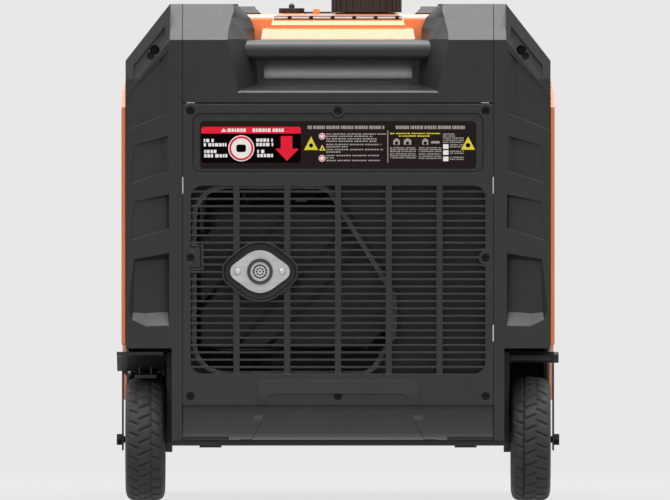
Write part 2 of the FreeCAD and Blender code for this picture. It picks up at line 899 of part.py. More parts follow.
def label_form(grow, seat_radius, name):
    """The label recess as a solid, grown evenly and stopping short of the screw seat above it."""
    solid = rounded(
        prism(
            "xz",
            rectangle(
                (-d.label_half_width - d.label_margin - grow, d.label_half_width + d.label_margin + grow),
                (d.label_bottom - 4.6 - grow, d.label_top + 9 + grow),
            ),
            near_end - 1,
            near_end + 2.1,
            name + "Form",
        ),
        9 + grow,
        runs_along("y"),
        name + "Round",
    )
    seat = rod("y", seat_radius, (0, near_end - 2, d.screw_top), 6, name + "Seat")
    return cut(solid, seat, name=name)


label_groove = cut(
    label_form(0.7, 8.1, "GrooveOuter"), label_form(-0.8, 9.5, "GrooveInner"), name="LabelGroove"
)
first_slat = d.grille_top - 7.1 - d.slat_pitch * (d.slat_count - 1)
cover.pad(
    "xz",
    [
        rectangle(
            (-d.grille_half_width, d.grille_half_width),
            (first_slat - d.slat_height * 0.5, first_slat + d.slat_height * 0.5),
        )
    ],
    near_end + 0.6,
    near_end + 0.6 + d.slat_depth,
)
cover.repeat("Z_Axis", d.slat_pitch * (d.slat_count - 1), d.slat_count)
first_bar = -2 * d.bar_pitch
cover.pad(
    "xz",
    [
        rectangle(
            (first_bar - d.bar_width * 0.5, first_bar + d.bar_width * 0.5),
            (d.grille_bottom - 0.5, d.grille_top + 0.5),
        )
    ],
    near_end + 0.2,
    near_end + 0.2 + d.slat_depth,
)
cover.repeat("X_Axis", d.bar_pitch * (d.bar_count - 1), d.bar_count)


def port_block(a, b, end_radius, mid_radius, low, high, name):
    """A rhombus with rounded corners, centred on the exhaust outlet."""
    outline = rhombus(a, b, d.outlet_x, d.outlet_z)
    piece = Piece(name).pad("xz", [outline], low, high)
    upright = number(d.outlet_x)
    piece.fillet(
        end_radius, both(runs_along("y"), lambda e: abs(e.valueAt(0).x - upright) > 5)
    )
    piece.fillet(
        mid_radius,
        both(
            runs_along("y"),
            lambda e: abs(e.valueAt(0).x - upright) < 1,
        ),
    )
    return piece.body


def port(grow, low, high, name):
    return port_block(
        d.port_half_width + grow * 1.594,
        d.port_half_height + grow * 1.285,
        d.port_end_radius + grow,
        d.port_mid_radius + grow,
        low,
        high,
        name,
    )


rim = cut(
    port(0, near_end - 2.5, near_end + 14, "PortRim"),
    port(-d.port_wall, near_end - 4, near_end + 16, "PortHole"),
    name="PortRing",
)
screw_points = [
    (x, z)
    for z in (d.screw_top, d.screw_mid, d.screw_low)
    for x in (-d.screw_half_x, 0, d.screw_half_x)
    if not (z is d.screw_mid and x == 0)
]
seats = [rod("y", 8.2, (x, near_end + 0.01, z), 5.5, "ScrewPad") for x, z in screw_points]
tab = box((-178, -160), (near_end + 0.6, near_end + 5), (278, 308), "ScrewTab")
far_tab = box((172, 178), (near_end + 0.6, near_end + 5), (282, 304), "ScrewTab")
upper_form = [
    (near_end + 0.1, 149),
    (near_end - 0.1, 147),
    (near_end - 1.4, 131),
    (near_end - 1.2, d.tuck_height + 1),
    (near_end + 2, d.tuck_height + 1),
    (near_end + 2, 149),
]
lower_form = [
    (near_end + 4.4, d.tuck_height - 10),
    *[(near_end + out - 1.1, d.tuck_height - down) for out, down in FOOT_FLARE[1:6]],
    (near_end - 2.4, d.body_bottom + 1.4),
    (near_end + 1.4, d.body_bottom + 1.4),
    *[(near_end + out + 2, d.tuck_height - down) for out, down in FOOT_FLARE[4:0:-1]],
    (near_end + 6, d.tuck_height - 10),
]
arch_outer = [(-95.8, 147), (-95.8, 112), (-116, 75.6), (116, 75.6), (95.8, 112), (95.8, 147)]
arch_inner = [(-85, 131), (-85, 110), (-104, 75.4), (104, 75.4), (85, 110), (85, 131)]
outer_form = rounded(
    prism("xz", arch_outer, near_end - 2, near_end + 18, "ArchBand"),
    9,
    both(runs_along("y"), lambda e: e.valueAt(0).z > 140),
    "ArchOuter",
)
inner_form = rounded(
    prism("xz", arch_inner, near_end - 5, near_end + 22, "ArchOpening"),
    11,
    both(runs_along("y"), lambda e: e.valueAt(0).z > 125),
    "ArchInner",
)
arch_bands = [
    cut(
        common(outer_form, prism("yz", form, -125, 125, "BandForm"), name="BandBlank"),
        inner_form,
        name="Band",
    )
    for form in (upper_form, lower_form)
]
foot_slots = [
    box((low, low + 56), (near_end - 3, near_end + 2.4), (74, 79.6), "FootSlot") for low in (-186, 130)
]
tab_groove = cut(
    box((-177, -162.6), (near_end - 1, near_end + 3.6), (279.6, 306.4), "TabGroove"),
    box((-178, -164.2), (near_end - 2, near_end + 5), (281.4, 304.6), "TabIsland"),
    name="TabLine",
)
screw_holes = []
for x, z in screw_points:
    screw_holes.append(rod("y", d.screw_recess, (x, near_end - 1, z), 3.2, "ScrewRecess"))
    screw_holes.append(rod("y", 2.3, (x, near_end - 1, z), 9, "ScrewHole"))
clip_places = [(-1, 369, 389), (1, 369, 389), (1, 193, 213)]
notches = []
for side, bottom, top in clip_places:
    low, high = (cover_half - 1.2, cover_half + 1) if side > 0 else (-cover_half - 1, 1.2 - cover_half)
    notches.append(
        box((low, high), (near_end - 1, near_end + 6), (bottom - 0.4, top + 0.4), "ClipNotch")
    )
full_cover = cut(
    fuse(
        cut(cover.body, port(-1, near_end - 3, near_end + 12, "PortCut"), name="CoverOpened"),
        rim,
        tab,
        far_tab,
        *arch_bands,
        *seats,
        name="CoverJoined",
    ),
    *screw_holes,
    *notches,
    *foot_slots,
    tab_groove,
    label_groove,
    name="ExhaustCover",
)
node(full_cover, "exhaust_cover")

screws = []
for x, z in screw_points:
    head = rod("y", d.screw_head, (x, near_end + 0.3, z), 1.9, "Head")
    shank = rod("y", 2, (x, near_end + 2, z), 10.5, "Shank")
    socket = prism("xz", hexagon(4), 0, 1.3, "Socket")
    place(socket, x, near_end + 0.2, z)
    screws.append(cut(fuse(head, shank), socket, name="CoverScrew"))
for x in (-218, 218):
    for end, away in ((near_end, 1), (far_end, -1)):
        start = near_end + 16 if away > 0 else far_end - 46
        shank = rod("y", 2.4, (x, start, 540), 30, "Shank")
        start = near_end + 15 if away > 0 else far_end - 18.5
        head = rod("y", 5, (x, start, 540), 3.5, "Head")
        screws.append(fuse(shank, head, name="CornerScrew"))
node(group(*screws, name="CoverScrews"), "cover_screws")

label = Piece("Label").pad(
    "xz",
    [rectangle((-d.label_half_width, d.label_half_width), (d.label_bottom, d.label_top))],
    near_end + 0.6,
    near_end + 1.2,
)
label.fillet(5, runs_along("y"))
node(label.body, "label_plate")

clips = []
for side, bottom, top in clip_places:
    low, high = sorted((side * 184, side * 185.35))
    clips.append(box((low, high), (near_end + 0.4, near_end + 5.5), (bottom, top), "Clip"))
node(group(*clips, name="PanelClips"), "panel_clips")

def grown(points, amount):
    """A closed outline, listed anticlockwise, moved outwards evenly."""
    made = []
    for before, here, after in zip(points[-1:] + points[:-1], points, points[1:] + points[:1]):
        outward = []
        for start, end in ((before, here), (here, after)):
            along, up = end[0] - start[0], end[1] - start[1]
            length = math.hypot(along, up)
            outward.append((up / length, -along / length))
        (a, b), (c, e) = outward
        share = 1 + a * c + b * e
        made.append((here[0] + amount * (a + c) / share, here[1] + amount * (b + e) / share))
    return made


duct = [(-174, 380), (-174, 152), (40, 152), (70, 200), (70, 248), (-12, 380)]


def duct_form(grow, low, high, name):
    """The duct's outline as a solid, with wide corners at its left and closer ones at its right."""
    solid = prism("xz", grown(duct, grow), near_end + low, near_end + high, name)
    wide = rounded(
        solid, 40 + grow, both(runs_along("y"), lambda e: e.valueAt(0).x < -150), name + "Left"
    )
    return rounded(
        wide, 24 + grow, both(runs_along("y"), lambda e: e.valueAt(0).x > -40), name + "Right"
    )


baffle_plate = box((-181, 181), (near_end + 22, near_end + 24), (140, 392), "BafflePlate")
baffle = cut(
    fuse(
        cut(baffle_plate, duct_form(4.6, 20, 26, "PlateOpening"), name="PlateOpened"),
        cut(duct_form(2, 13, 28, "RingOuter"), duct_form(0, 12, 30, "RingInner"), name="DuctRing"),
        cut(duct_form(7, 24, 27, "FloorOuter"), duct_form(1, 12, 30, "FloorInner"), name="RingFloor"),
        box((-181, 181), (near_end + 24, near_end + 34), (138, 142), "BaffleFoot"),
        name="BaffleJoined",
    ),
    box((-190, -181), (near_end + 10, near_end + 40), (130, 400), "BaffleTrim"),
    name="Baffle",
)
node(baffle, "exhaust_baffle")

flange_low = near_end + 5
flange_blank = port_block(
    d.flange_half_width,
    d.flange_half_height,
    d.flange_end_radius,
    d.flange_mid_radius,
    flange_low,
    flange_low + d.flange_thickness,
    "FlangePlate",
)
outlet = (d.outlet_x, flange_low - 20, d.outlet_z)
flange = cut(
    flange_blank,
    rod("y", d.tail_radius, outlet, 60, "FlangeBore"),
    *[
        rod("y", 2.6, (d.outlet_x + side * d.flange_screw_half, flange_low - 5, d.outlet_z), 20)
        for side in (-1, 1)
    ],
    name="Flange",
)
node(flange, "exhaust_flange")

flange_screws = []
for side in (-1, 1):
    x = d.outlet_x + side * d.flange_screw_half
    head = rounded(
        rod("y", 3.7, (x, flange_low - 2.6, d.outlet_z), 2.6),
        1.6,
        lambda e: e.BoundBox.YLength < 0.1 and e.BoundBox.YMax < number(flange_low) - 2,
        "DomeHead",
    )
    shank = rod("y", 2.4, (x, flange_low, d.outlet_z), 14, "Shank")
    flange_screws.append(fuse(head, shank, name="FlangeScrew"))
node(group(*flange_screws, name="FlangeScrews"), "flange_screws")

arrestor = Piece("Arrestor")
arrestor.pad("xz", [("circle", 0, 0, d.arrestor_radius)], 0, 1.5)
for ring_radius, count in ((4, 8), (7.6, 14)):
    arrestor.pocket("xz", [("circle", ring_radius, 0, 0.8)], -1, 3)
    arrestor.repeat("Y_Axis", 0, count, polar=True)
place(arrestor.body, d.outlet_x, near_end + 4, d.outlet_z)
node(arrestor.body, "spark_arrestor")

muffler_can = rounded(
    box((-160, 44), (-281, -152), (182, 358), "MufflerCan"), 20, lambda e: True, "MufflerShell"
)
tail_bracket = port(
    -d.port_wall - 1.2,
    flange_low + d.flange_thickness,
    flange_low + d.flange_thickness + 3,
    "TailBracket",
)
shield_outline = [(-127, 346), (-163, 314), (-163, 186), (34, 186), (62, 214), (62, 262), (10, 346)]
shield = prism("xz", shield_outline, -288.5, -286.5, "HeatShield")
ribs = [
    prism("xz", [(x, 186), (x + 8, 186), (x + 168, 356), (x + 160, 356)], -289, -286, "ShieldSlot")
    for x in (-213, -127, -88)
]
shield = cut(shield, *ribs, name="SlottedShield")
shield_posts = [
    box((x, x + 10), (-287.5, -279), (z, z + 10), "ShieldPost")
    for x, z in ((-150, 300), (-100, 320), (-150, 210), (-20, 325), (-84, 215), (-20, 205), (8, 250))
]
muffler = cut(
    fuse(
        muffler_can,
        shield,
        *shield_posts,
        rod("y", d.tail_radius, (d.outlet_x, near_end + 1.5, d.outlet_z), 62, "TailPipe"),
        rod("y", d.tail_radius + 3, (d.outlet_x, -290, d.outlet_z), 14, "TailSocket"),
        rod("y", 11, (-87, -156, 332), 77.7, "HeaderPipe"),
        tail_bracket,
        name="MufflerJoined",
    ),
    rod("y", d.arrestor_radius + 0.1, (d.outlet_x, near_end - 1, d.outlet_z), 110, "TailBore"),
    *[
        rod("y", 2.6, (d.outlet_x + side * d.flange_screw_half, flange_low, d.outlet_z), 20)
        for side in (-1, 1)
    ],
    name="Muffler",
)
node(muffler, "muffler")


# ---------------------------------------------------------------- base and mounts

base_tray = cut(
    box((-180, 180), (-306, 306), (80, 112), "TrayBlock"),
    box((-178.5, 178.5), (-304.5, 304.5), (81.5, 120), "TrayInside"),
    *[box((x, x + 60), (-120, 120), (70, 90), "TrayVent") for x in (-150, 90)],
    name="BaseTray",
)
bar_ends = d.arch_inner
exhaust_bar = cut(
    box((-bar_ends, bar_ends), (-316, -276), (69, 75), "BarTop"),
    box((-bar_ends - 1, bar_ends + 1), (-312, -280), (60, 73), "BarInside"),
    name="ExhaustBar",
)
far_bar = cut(
    box((-248, 248), (232, 292), (69, 75), "BarTop"),
    box((-249, 249), (236, 288), (60, 73), "BarInside"),
    name="FarBar",
)
pads = [
    box((low, low + 26), (-309, -283), (66.6, 73.5), "BarPad") for low in (-165, 139)
]
cross_bars = [
    box((low, low + 24), (-280, 236), (69, 75), "LongBar") for low in (-168, 144)
]
spacers = [
    box((-120, 120), (y, y + 14), (74, 81), "TraySpacer") for y in (-300, 244)
]

feet = []
for side in (-1, 1):
    low, high = sorted((side * 216, side * 249))
    leg = cut(
        box((low, high), (236.5, 287.5), (12, 73.5), "FootLeg"),
        box((low + 3, high - 3), (239.5, 284.5), (30, 70), "FootHollow"),
        name="Leg",
    )
    feet.append(leg)
node(
    fuse(
        base_tray, exhaust_bar, far_bar, *pads, *cross_bars, *spacers, *feet, name="BaseFrame"
    ),
    "base_frame",
)
pads = []
for side in (-1, 1):
    low, high = sorted((side * 213, side * 252))
    pad = rounded(
        box((low, high), (233, 291), (0, 22), "FootPad"), 5, runs_along("z"), "FootSides"
    )
    low, high = sorted((side * 216, side * 249))
    pads.append(cut(pad, box((low, high), (236.5, 287.5), (12, 23), "FootSeat"), name="FootShoe"))
node(group(*pads, name="FootPads"), "front_feet")

mounts = []
for x in (-58, 58):
    for y in (-72, 36):
        mounts.append(rod("z", 16, (x, y, 81.5), 27.5, "EngineMount"))
node(group(*mounts, name="EngineMounts"), "engine_mounts")


# ---------------------------------------------------------------- wheels, forks and axles


def wheel_profile(points, name):
    """A turned part of a wheel, drawn as (across, radius) with the axle along X."""
    return Piece(name).turn("xz", "H_Axis", points)


edge = d.tyre_half_width
crown = d.wheel_radius


def tyre(first_groove, second_groove):
    tread = [
        (-edge, crown - 17),
        (-edge, crown - 8),
        (2.5 - edge, crown - 3),
        (7 - edge, crown - 0.8),
    ]
    for middle in (first_groove, second_groove):
        tread += [
            (middle - 1.5, crown),
            (middle - 1.5, crown - 3.5),
            (middle + 1.5, crown - 3.5),
            (middle + 1.5, crown),
        ]
    tread += [
        (edge - 7, crown - 0.8),
        (edge - 2.5, crown - 3),
        (edge, crown - 8),
        (edge, crown - 17),
        (edge - 3.5, d.rim_radius),
        (3.5 - edge, d.rim_radius),
    ]
    return wheel_profile(tread, "Tyre")


def wheel_rim():
    bore = d.axle_radius + d.bore_clearance
    seat = d.rim_radius
    points = [
        (-21, bore),
        (-21, 13),
        (-6, 15),
        (-6, 40),
        (-19.6, 44),
        (-19.6, seat),
        (19.6, seat),
        (19.6, 44),
        (6, 40),
        (6, 15),
        (21, 13),
        (21, bore),
    ]
    rim_piece = wheel_profile(points, "Rim")
    rim_piece.pocket("yz", [("circle", 0, 27.5, 8)], -8, 8)
    rim_piece.repeat("X_Axis", 0, 5, polar=True)
    return rim_piece


for side, name, grooves in ((-1, "left", (-7.8, 7.6)), (1, "right", (-9, 6))):
    made = tyre(*grooves).body
    place(made, side * d.wheel_x, d.axle_y, d.wheel_radius)
    node(made, name + "_tyre")
    made = wheel_rim().body
    place(made, side * d.wheel_x, d.axle_y, d.wheel_radius)
    node(made, name + "_rim")

half = d.strap_half_width
outer_leg = d.panel_half_width
leg_outline = [
    (d.axle_y - half, d.wheel_radius - 4),
    (d.axle_y - half + 5, d.wheel_radius - 13),
    (d.axle_y + half - 5, d.wheel_radius - 13),
    (d.axle_y + half, d.wheel_radius - 4),
    (d.axle_y + half, d.wheel_radius + 30),
    (d.axle_y + 9, d.fork_bar_high),
    (d.axle_y - 9, d.fork_bar_high),
    (d.axle_y - half, d.wheel_radius + 30),
]
inner_outline = [
    (d.axle_y - 18, d.wheel_radius - 4),
    (d.axle_y - 12, d.wheel_radius - 14.9),
    (d.axle_y + 12, d.wheel_radius - 14.9),
    (d.axle_y + 18, d.wheel_radius - 4),
    (d.axle_y + 18, d.wheel_radius + 30),
    (d.axle_y + 16, d.fork_bar_high),
    (d.axle_y - 16, d.fork_bar_high),
    (d.axle_y - 18, d.wheel_radius + 30),
]


def fork(braked):
    """A wheel fork on the right side: a cross bar with a strap on either side."""
    bar = rounded(
        box(
            (d.arch_inner + 2, d.fork_bar_reach),
            (d.axle_y - 7, d.axle_y + 7),
            (d.fork_bar_low, d.fork_bar_high),
            "ForkBar",
        ),
        5,
        both(runs_along("x")),
        "ForkBarRound",
    )
    parts = [
        bar,
        prism("yz", leg_outline, outer_leg - d.strap_thickness, outer_leg, "OuterLeg"),
        prism("yz", inner_outline, d.arch_inner, d.arch_inner + 6.6, "InnerLeg"),
        rod("x", 14.9, (d.arch_inner, d.axle_y, d.wheel_radius), 8, "HubPlate"),
    ]
    if braked:
        for low, high in ((207.5, 209.5), (252, 254)):
            ear = [
                (d.brake_pin_y - 5, d.brake_pin_z - 5),
                (d.brake_pin_y + 5, d.brake_pin_z - 5),
                (d.axle_y + 4, d.fork_bar_low + 3),
                (d.axle_y - 6, d.fork_bar_low + 3),
                (d.brake_pin_y - 5, d.fork_bar_low - 4),
            ]
            parts.append(prism("yz", ear, low, high, "BrakeEar"))
    holes = [rod("x", d.axle_radius + 0.02, (190, d.axle_y, d.wheel_radius), 80, "AxleHole")]
    if braked:
        pin = (200, d.brake_pin_y, d.brake_pin_z)
        holes.append(rod("x", d.brake_pin_radius + 0.02, pin, 60, "PinHole"))
    for y in (d.axle_y - 9, d.axle_y + 9):
        holes.append(rod("x", 3.2, (190, y, 173), 16, "ForkHole"))
    return cut(fuse(*parts, name="ForkJoined"), *holes, name="Fork")


brake_pin = fuse(
    rod("x", d.brake_pin_radius, (-256, d.brake_pin_y, d.brake_pin_z), 50, "PinShank"),
    rod("x", 3.4, (-255.8, d.brake_pin_y, d.brake_pin_z), 1.5, "PinHead"),
    name="BrakePin",
)
node(
    group(fork(False), mirrored(fork(True), "LeftFork"), brake_pin, name="WheelForks"),
    "wheel_forks",
)

bolts = []
for side in (-1, 1):
    inner = 191 if side > 0 else -264.5
    shank_start = 191 if side > 0 else -261
    shank = rod("x", d.axle_radius, (shank_start, d.axle_y, d.wheel_radius), 70, "AxleShank")
    head_low = 258 if side > 0 else -264.3
    head = prism("yz", hexagon(13), 0, 6.3, "AxleHead")
    place(head, head_low, d.axle_y, d.wheel_radius)
    bolts.append(fuse(shank, head, name="AxleBolt"))
node(group(*bolts, name="AxleBolts"), "axle_bolts")


# ---------------------------------------------------------------- foot brake

pin_y, pin_z = d.brake_pin_y, d.brake_pin_z
pedal_side = [
    (pin_y - 3, pin_z + 1.5),
    (pin_y - 14, pin_z + 4),
    (pin_y - 46, pin_z + 20.5),
    (pin_y - 64, pin_z + 24),
    (pin_y - 64, pin_z + 20.5),
    (pin_y - 47.5, pin_z + 17.2),
    (pin_y - 14, pin_z + 0.5),
    (pin_y - 3, pin_z - 2.5),
]
tread_side = [
    (pin_y - 13, pin_z + 3.6),
    (pin_y - 46, pin_z + 20.5),
    (pin_y - 64, pin_z + 24),
    (pin_y - 64, pin_z + 20.5),
    (pin_y - 47.5, pin_z + 17.2),
    (pin_y - 13, pin_z + 0.2),
]
shoe_side = [
    (pin_y - 26, pin_z - 8),
    (pin_y - 26, pin_z - 4),
    (pin_y - 20, pin_z - 3),
    (pin_y - 20, pin_z - 7),
]
web_side = [
    (pin_y - 22.4, pin_z - 5),
    (pin_y - 23, pin_z + 6),
    (pin_y - 17, pin_z + 3),
    (pin_y - 20, pin_z - 5),
]
hub = rod("x", 5, (-240, pin_y, pin_z), 28, "PedalHub")
pedal_parts = [
    hub,
    prism("yz", pedal_side, -243, -216.5, "PedalArm"),
    prism("yz", tread_side, -263.5, -208, "PedalPlate"),
    prism("yz", shoe_side, -243, -216.5, "BrakeShoe"),
    prism("yz", web_side, -238, -236, "ShoeWeb"),
    prism("yz", web_side, -224, -222, "ShoeWeb"),
]
pedal = cut(
    fuse(*pedal_parts, name="PedalJoined"),
    rod(
        "x",
        d.brake_pin_radius + d.bore_clearance,
        (-250, pin_y, pin_z),
        50,
        "PedalBore",
    ),
    name="BrakePedal",
)
node(pedal, "brake_pedal")
coil_points = [
    FreeCAD.Vector(
        -250.8 + 3.4 * i / 48, 3.6 * math.cos(math.tau * i / 12), 3.6 * math.sin(math.tau * i / 12)
    )
    for i in range(49)
]
coil_path = Part.BSplineCurve()
coil_path.interpolate(coil_points)
spring = doc.addObject("Part::Feature", "BrakeSpring")
start = Part.Wire(Part.Circle(coil_points[0], coil_path.tangent(0)[0], 0.6).toShape())
spring.Shape = Part.Wire(coil_path.toShape()).makePipeShell([start], True, True)
place(spring, 0, pin_y, pin_z)
node(spring, "brake_spring")


# ---------------------------------------------------------------- top cover and filler

crest = d.top_cover_height
tongue = near_end + 63
wide = 214
tongue_side = [
    (tongue, 541),
    (tongue, 553),
    (tongue + 7, 564.5),
    (tongue + 10, 566),
    (tongue + 10, 570),
    (tongue + 18, 576),
    (tongue + 20, 577.5),
    (tongue + 24, 581),
    (tongue + 50, crest),
    (tongue + 50, 541),
]
tongue_block = common(
    prism("yz", tongue_side, -92, 92, "TongueForm"),
    prism(
        "xz",
        symmetric([(66, 590), (78, 577), (80, 569), (90, 565), (92, 553), (92, 541)]),
        tongue - 1,
        tongue + 55,
        "TongueWidth",
    ),
    name="Tongue",
)
crown_block = rounded(
    box((-184, 184), (-wide, wide), (541, crest), "CrownBlock"),
    7,
    both(lambda e: abs(e.BoundBox.ZMin - number(crest)) < 0.1 and e.BoundBox.ZLength < 0.1),
    "CrownRound",
)
boss = d.boss_height
bosses = [
    cone((x, 0, crest - 1), reach, reach - 5, boss - crest + 1)
    for x, reach in ((d.cap_x, 42), (d.anchor_x, 22))
]
deck = cut(
    fuse(crown_block, tongue_block, *bosses, name="CoverJoined"),
    box((-181, 181), (3 - wide, wide - 3), (540, crest - 3), "CrownHollow"),
    box((-84, 84), (tongue + 6, 5 - wide), (540, 551), "TongueHollow"),
    box((-60, 60), (tongue + 14, 5 - wide), (540, 562), "TongueHollow"),
    rod("z", d.neck_radius + 2, (d.cap_x, 0, 560), 40, "FillerHole"),
    *[
        rod("z", 3.2, (26 * i - 78, tongue + 23.5, 575), 10, "Dimple")
        for i in range(7)
    ],
    name="DeckBlank",
)
keeper = cut(
    box((-30, -22), (-9, 9), (crest - 1, 590.4), "KeeperBlock"),
    box((-31, -21), (-6, 6), (crest - 0.6, 588.6), "KeeperSlot"),
    name="Keeper",
)
node(fuse(deck, keeper, name="TopCover"), "top_cover")

cap = Piece("FuelCap")
cap.turn(
    "xz",
    "V_Axis",
    [
        (0, d.cap_low + 10),
        (29, d.cap_low + 10),
        (29, d.cap_low),
        (d.cap_radius - 1.2, d.cap_low),
        (d.cap_radius - 1.2, d.cap_high - 6),
        (d.cap_radius - 5, d.cap_high - 1.2),
        (d.cap_radius - 12, d.cap_high),
        (0, d.cap_high),
    ],
)
cap.pad(
    "xy",
    [
        [
            (d.cap_radius - 3, -2.2),
            (d.cap_radius, -1.6),
            (d.cap_radius, 1.6),
            (d.cap_radius - 3, 2.2),
        ]
    ],
    d.cap_low,
    d.cap_high - 7,
)
cap.repeat("Z_Axis", 0, 28, polar=True)
place(cap.body, d.cap_x, 0, 0)
node(cap.body, "fuel_cap")

ring = cut(
    rod("z", 35, (d.cap_x, 0, boss + 0.1), 1.1, "TetherRing"),
    rod("z", d.neck_radius + 2.5, (d.cap_x, 0, boss - 1), 5, "TetherHole"),
    name="TetherLoop",
)
strap = box((d.anchor_x + 10, d.cap_x - 28), (-4, 4), (boss + 0.1, boss + 2.2), "Strap")
strap = cut(
    strap,
    rod("z", d.neck_radius + 3, (d.cap_x, 0, boss - 1), 8),
    rod("z", d.cap_radius + 0.5, (d.cap_x, 0, boss + 1.2), 8),
    name="StrapTrim",
)
anchor = fuse(
    rod("z", 15.5, (d.anchor_x, 0, boss + 0.1), 6.4, "AnchorDisc"),
    rod("z", 3.5, (d.anchor_x, 0, boss + 6), 3, "AnchorStem"),
    ball(3.6, (d.anchor_x, 0, boss + 8.9)),
)
node(fuse(ring, strap, anchor, name="CapTether"), "cap_tether")

tank = rounded(
    box((-172, 172), (-168, 172), (440, 556), "TankBlock"), 26, lambda e: True, "TankShell"
)
tank_hollow = rounded(
    box((-170, 170), (-166, 170), (442, 554), "TankVoid"), 24, lambda e: True, "TankInside"
)
tank_seam = rounded(
    box((-180, 180), (-176, 180), (494, 497), "TankSeam"), 30, runs_along("z"), "SeamRound"
)
neck = rod("z", d.neck_radius, (d.cap_x, 0, 540), 50.5, "Neck")
neck_hole = rod("z", d.neck_radius - 2, (d.cap_x, 0, 545), 50, "NeckHole")
node(
    cut(fuse(tank, tank_seam, neck, name="TankJoined"), tank_hollow, neck_hole, name="FuelTank"),
    "fuel_tank",
)


# ---------------------------------------------------------------- engine

crank = (0, 0, d.crank_z)
running = d.crank_radius + d.bore_clearance
case = rounded(
    box((-80, 80), (-92, 56), (109, 290), "CaseBlock"), 14, runs_along("y"), "CaseShell"
)


def leaning(thing):
    """Turns something built upright from the crank axis to the cylinder's lean."""
    lean = FreeCAD.Placement(
        FreeCAD.Vector(0, 0, number(d.crank_z)),
        FreeCAD.Rotation(FreeCAD.Vector(0, 1, 0), number(d.cylinder_tilt)),
    )
    thing.Placement = lean.multiply(thing.Placement)
    return thing


barrel = [leaning(prism("xy", rectangle((-40, 40), (-62, 26)), 60, 134, "Barrel"))]
for i in range(5):
    level = 88 + 10 * i
    fin = prism("xy", rectangle((-56, 56), (-76, 40)), level, level + 3, "Fin")
    barrel.append(leaning(fin))
block = cut(
    fuse(case, *barrel, name="BlockJoined"),
    rod("y", 58, (0, -62, d.crank_z), 88, "CrankRoom"),
    rod("y", running, (0, -100, d.crank_z), 200, "MainBore"),
    leaning(rod("z", 30, (0, -18, 20), 160, "CylinderBore")),
    name="EngineBlock",
)
node(block, "engine_block")

head_parts = [leaning(prism("xy", rectangle((-44, 44), (-66, 30)), 134.2, 168, "HeadCore"))]
for i in range(3):
    level = 137 + 10 * i
    fin = prism("xy", rectangle((-58, 58), (-78, 42)), level, level + 3, "HeadFin")
    head_parts.append(leaning(fin))
rocker = rounded(
    prism("xy", rectangle((-36, 36), (-58, 22)), 168, 196, "RockerBlock"),
    8,
    runs_along("z"),
    "RockerCover",
)
head = cut(
    fuse(*head_parts, leaning(rocker), name="HeadJoined"),
    leaning(rod("y", 5, (22, -90, 152), 60, "PlugHole")),
    name="CylinderHead",
)
node(head, "cylinder_head")

plug = Piece("SparkPlug")
plug.turn(
    "yz",
    "H_Axis",
    [
        (-62, 0),
        (-62, 4.9),
        (-78.4, 4.9),
        (-78.4, 10),
        (-86, 10),
        (-86, 7),
        (-104, 6),
        (-106, 9),
        (-128, 9),
        (-128, 0),
    ],
)
plug.body.Placement = FreeCAD.Placement(
    FreeCAD.Vector(22, 0, 152), FreeCAD.Rotation()
)
node(leaning(plug.body), "spark_plug")

carburettor = fuse(
    rod("y", 13, (-87, 43, 334), 52.8, "Throat"),
    rounded(box((-108, -66), (52, 86), (318, 352), "CarbBlock"), 5, runs_along("y")),
    rod("z", 15, (-87, 69, 296), 24, "FloatBowl"),
    name="Carburettor",
)
node(carburettor, "carburettor")
node(
    rounded(
        box((-168, -48), (96, 196), (314, 430), "CleanerBox"), 12, lambda e: True, "CleanerCase"
    ),
    "air_cleaner",
)


def on_crank(piece):
    """Puts a turned part on the crankshaft's axis."""
    return place(piece.body, 0, 0, d.crank_z)


shaft = fuse(
    rod("y", d.crank_radius, (0, -104, d.crank_z), 252, "Shaft"),
    rod("y", 46, (0, -36, d.crank_z), 12, "CrankWeb"),
    rod("y", 46, (0, -12, d.crank_z), 12, "CrankWeb"),
    rod("y", 10, (0, -30, d.crank_z + 24), 24, "CrankPin"),
    name="Crankshaft",
)
node(
    cut(shaft, rod("y", 14, (0, -23.9, d.crank_z), 11.8, "WebGap"), name="CrankFinished"),
    "crankshaft",
)

stator = Piece("Stator")
stator.turn(
    "yz",
    "H_Axis",
    [(56, 42), (56, 50), (64, 50), (64, d.stator_radius), (98, d.stator_radius), (98, 42)],
)
stator.pocket(
    "xz",
    [[(56, -4), (d.stator_radius - 4, -6), (d.stator_radius + 1, -1.5),
      (d.stator_radius + 1, 1.5), (d.stator_radius - 4, 6), (56, 4)]],
    70,
    100,
)
stator.repeat("Y_Axis", 0, 18, polar=True)
node(on_crank(stator), "stator")

rotor = Piece("Rotor")
rotor.turn(
    "yz",
    "H_Axis",
    [
        (66, d.rotor_radius - 7),
        (66, d.rotor_radius),
        (108, d.rotor_radius),
        (112, d.rotor_radius - 4),
        (112, d.crank_radius),
        (88, d.crank_radius),
        (88, 24),
        (105, 28),
        (105, d.rotor_radius - 7),
    ],
)
node(on_crank(rotor), "rotor")

fan = Piece("Fan")
fan.turn(
    "yz",
    "H_Axis",
    [
        (112, d.crank_radius),
        (112, d.fan_radius),
        (114.5, d.fan_radius),
        (114.5, 40),
        (126, 24),
        (140, 22),
        (140, d.crank_radius),
    ],
)
fan.pad("xz", [[(44, -6), (d.fan_radius - 0.6, 8), (d.fan_radius - 1.8, 10.2), (43, -3.6)]], 113, 138)
fan.repeat("Y_Axis", 0, 18, polar=True)
node(on_crank(fan), "cooling_fan")

shroud = Piece("Shroud")
shroud.turn(
    "yz",
    "H_Axis",
    [
        (56, 88),
        (56, d.shroud_radius + 3),
        (152, d.shroud_radius + 3),
        (152, 62),
        (149, 62),
        (149, d.shroud_radius),
        (59, d.shroud_radius),
        (59, 88),
    ],
)
shroud.pocket("xz", [("circle", 95, 0, 3.2)], 55, 60)

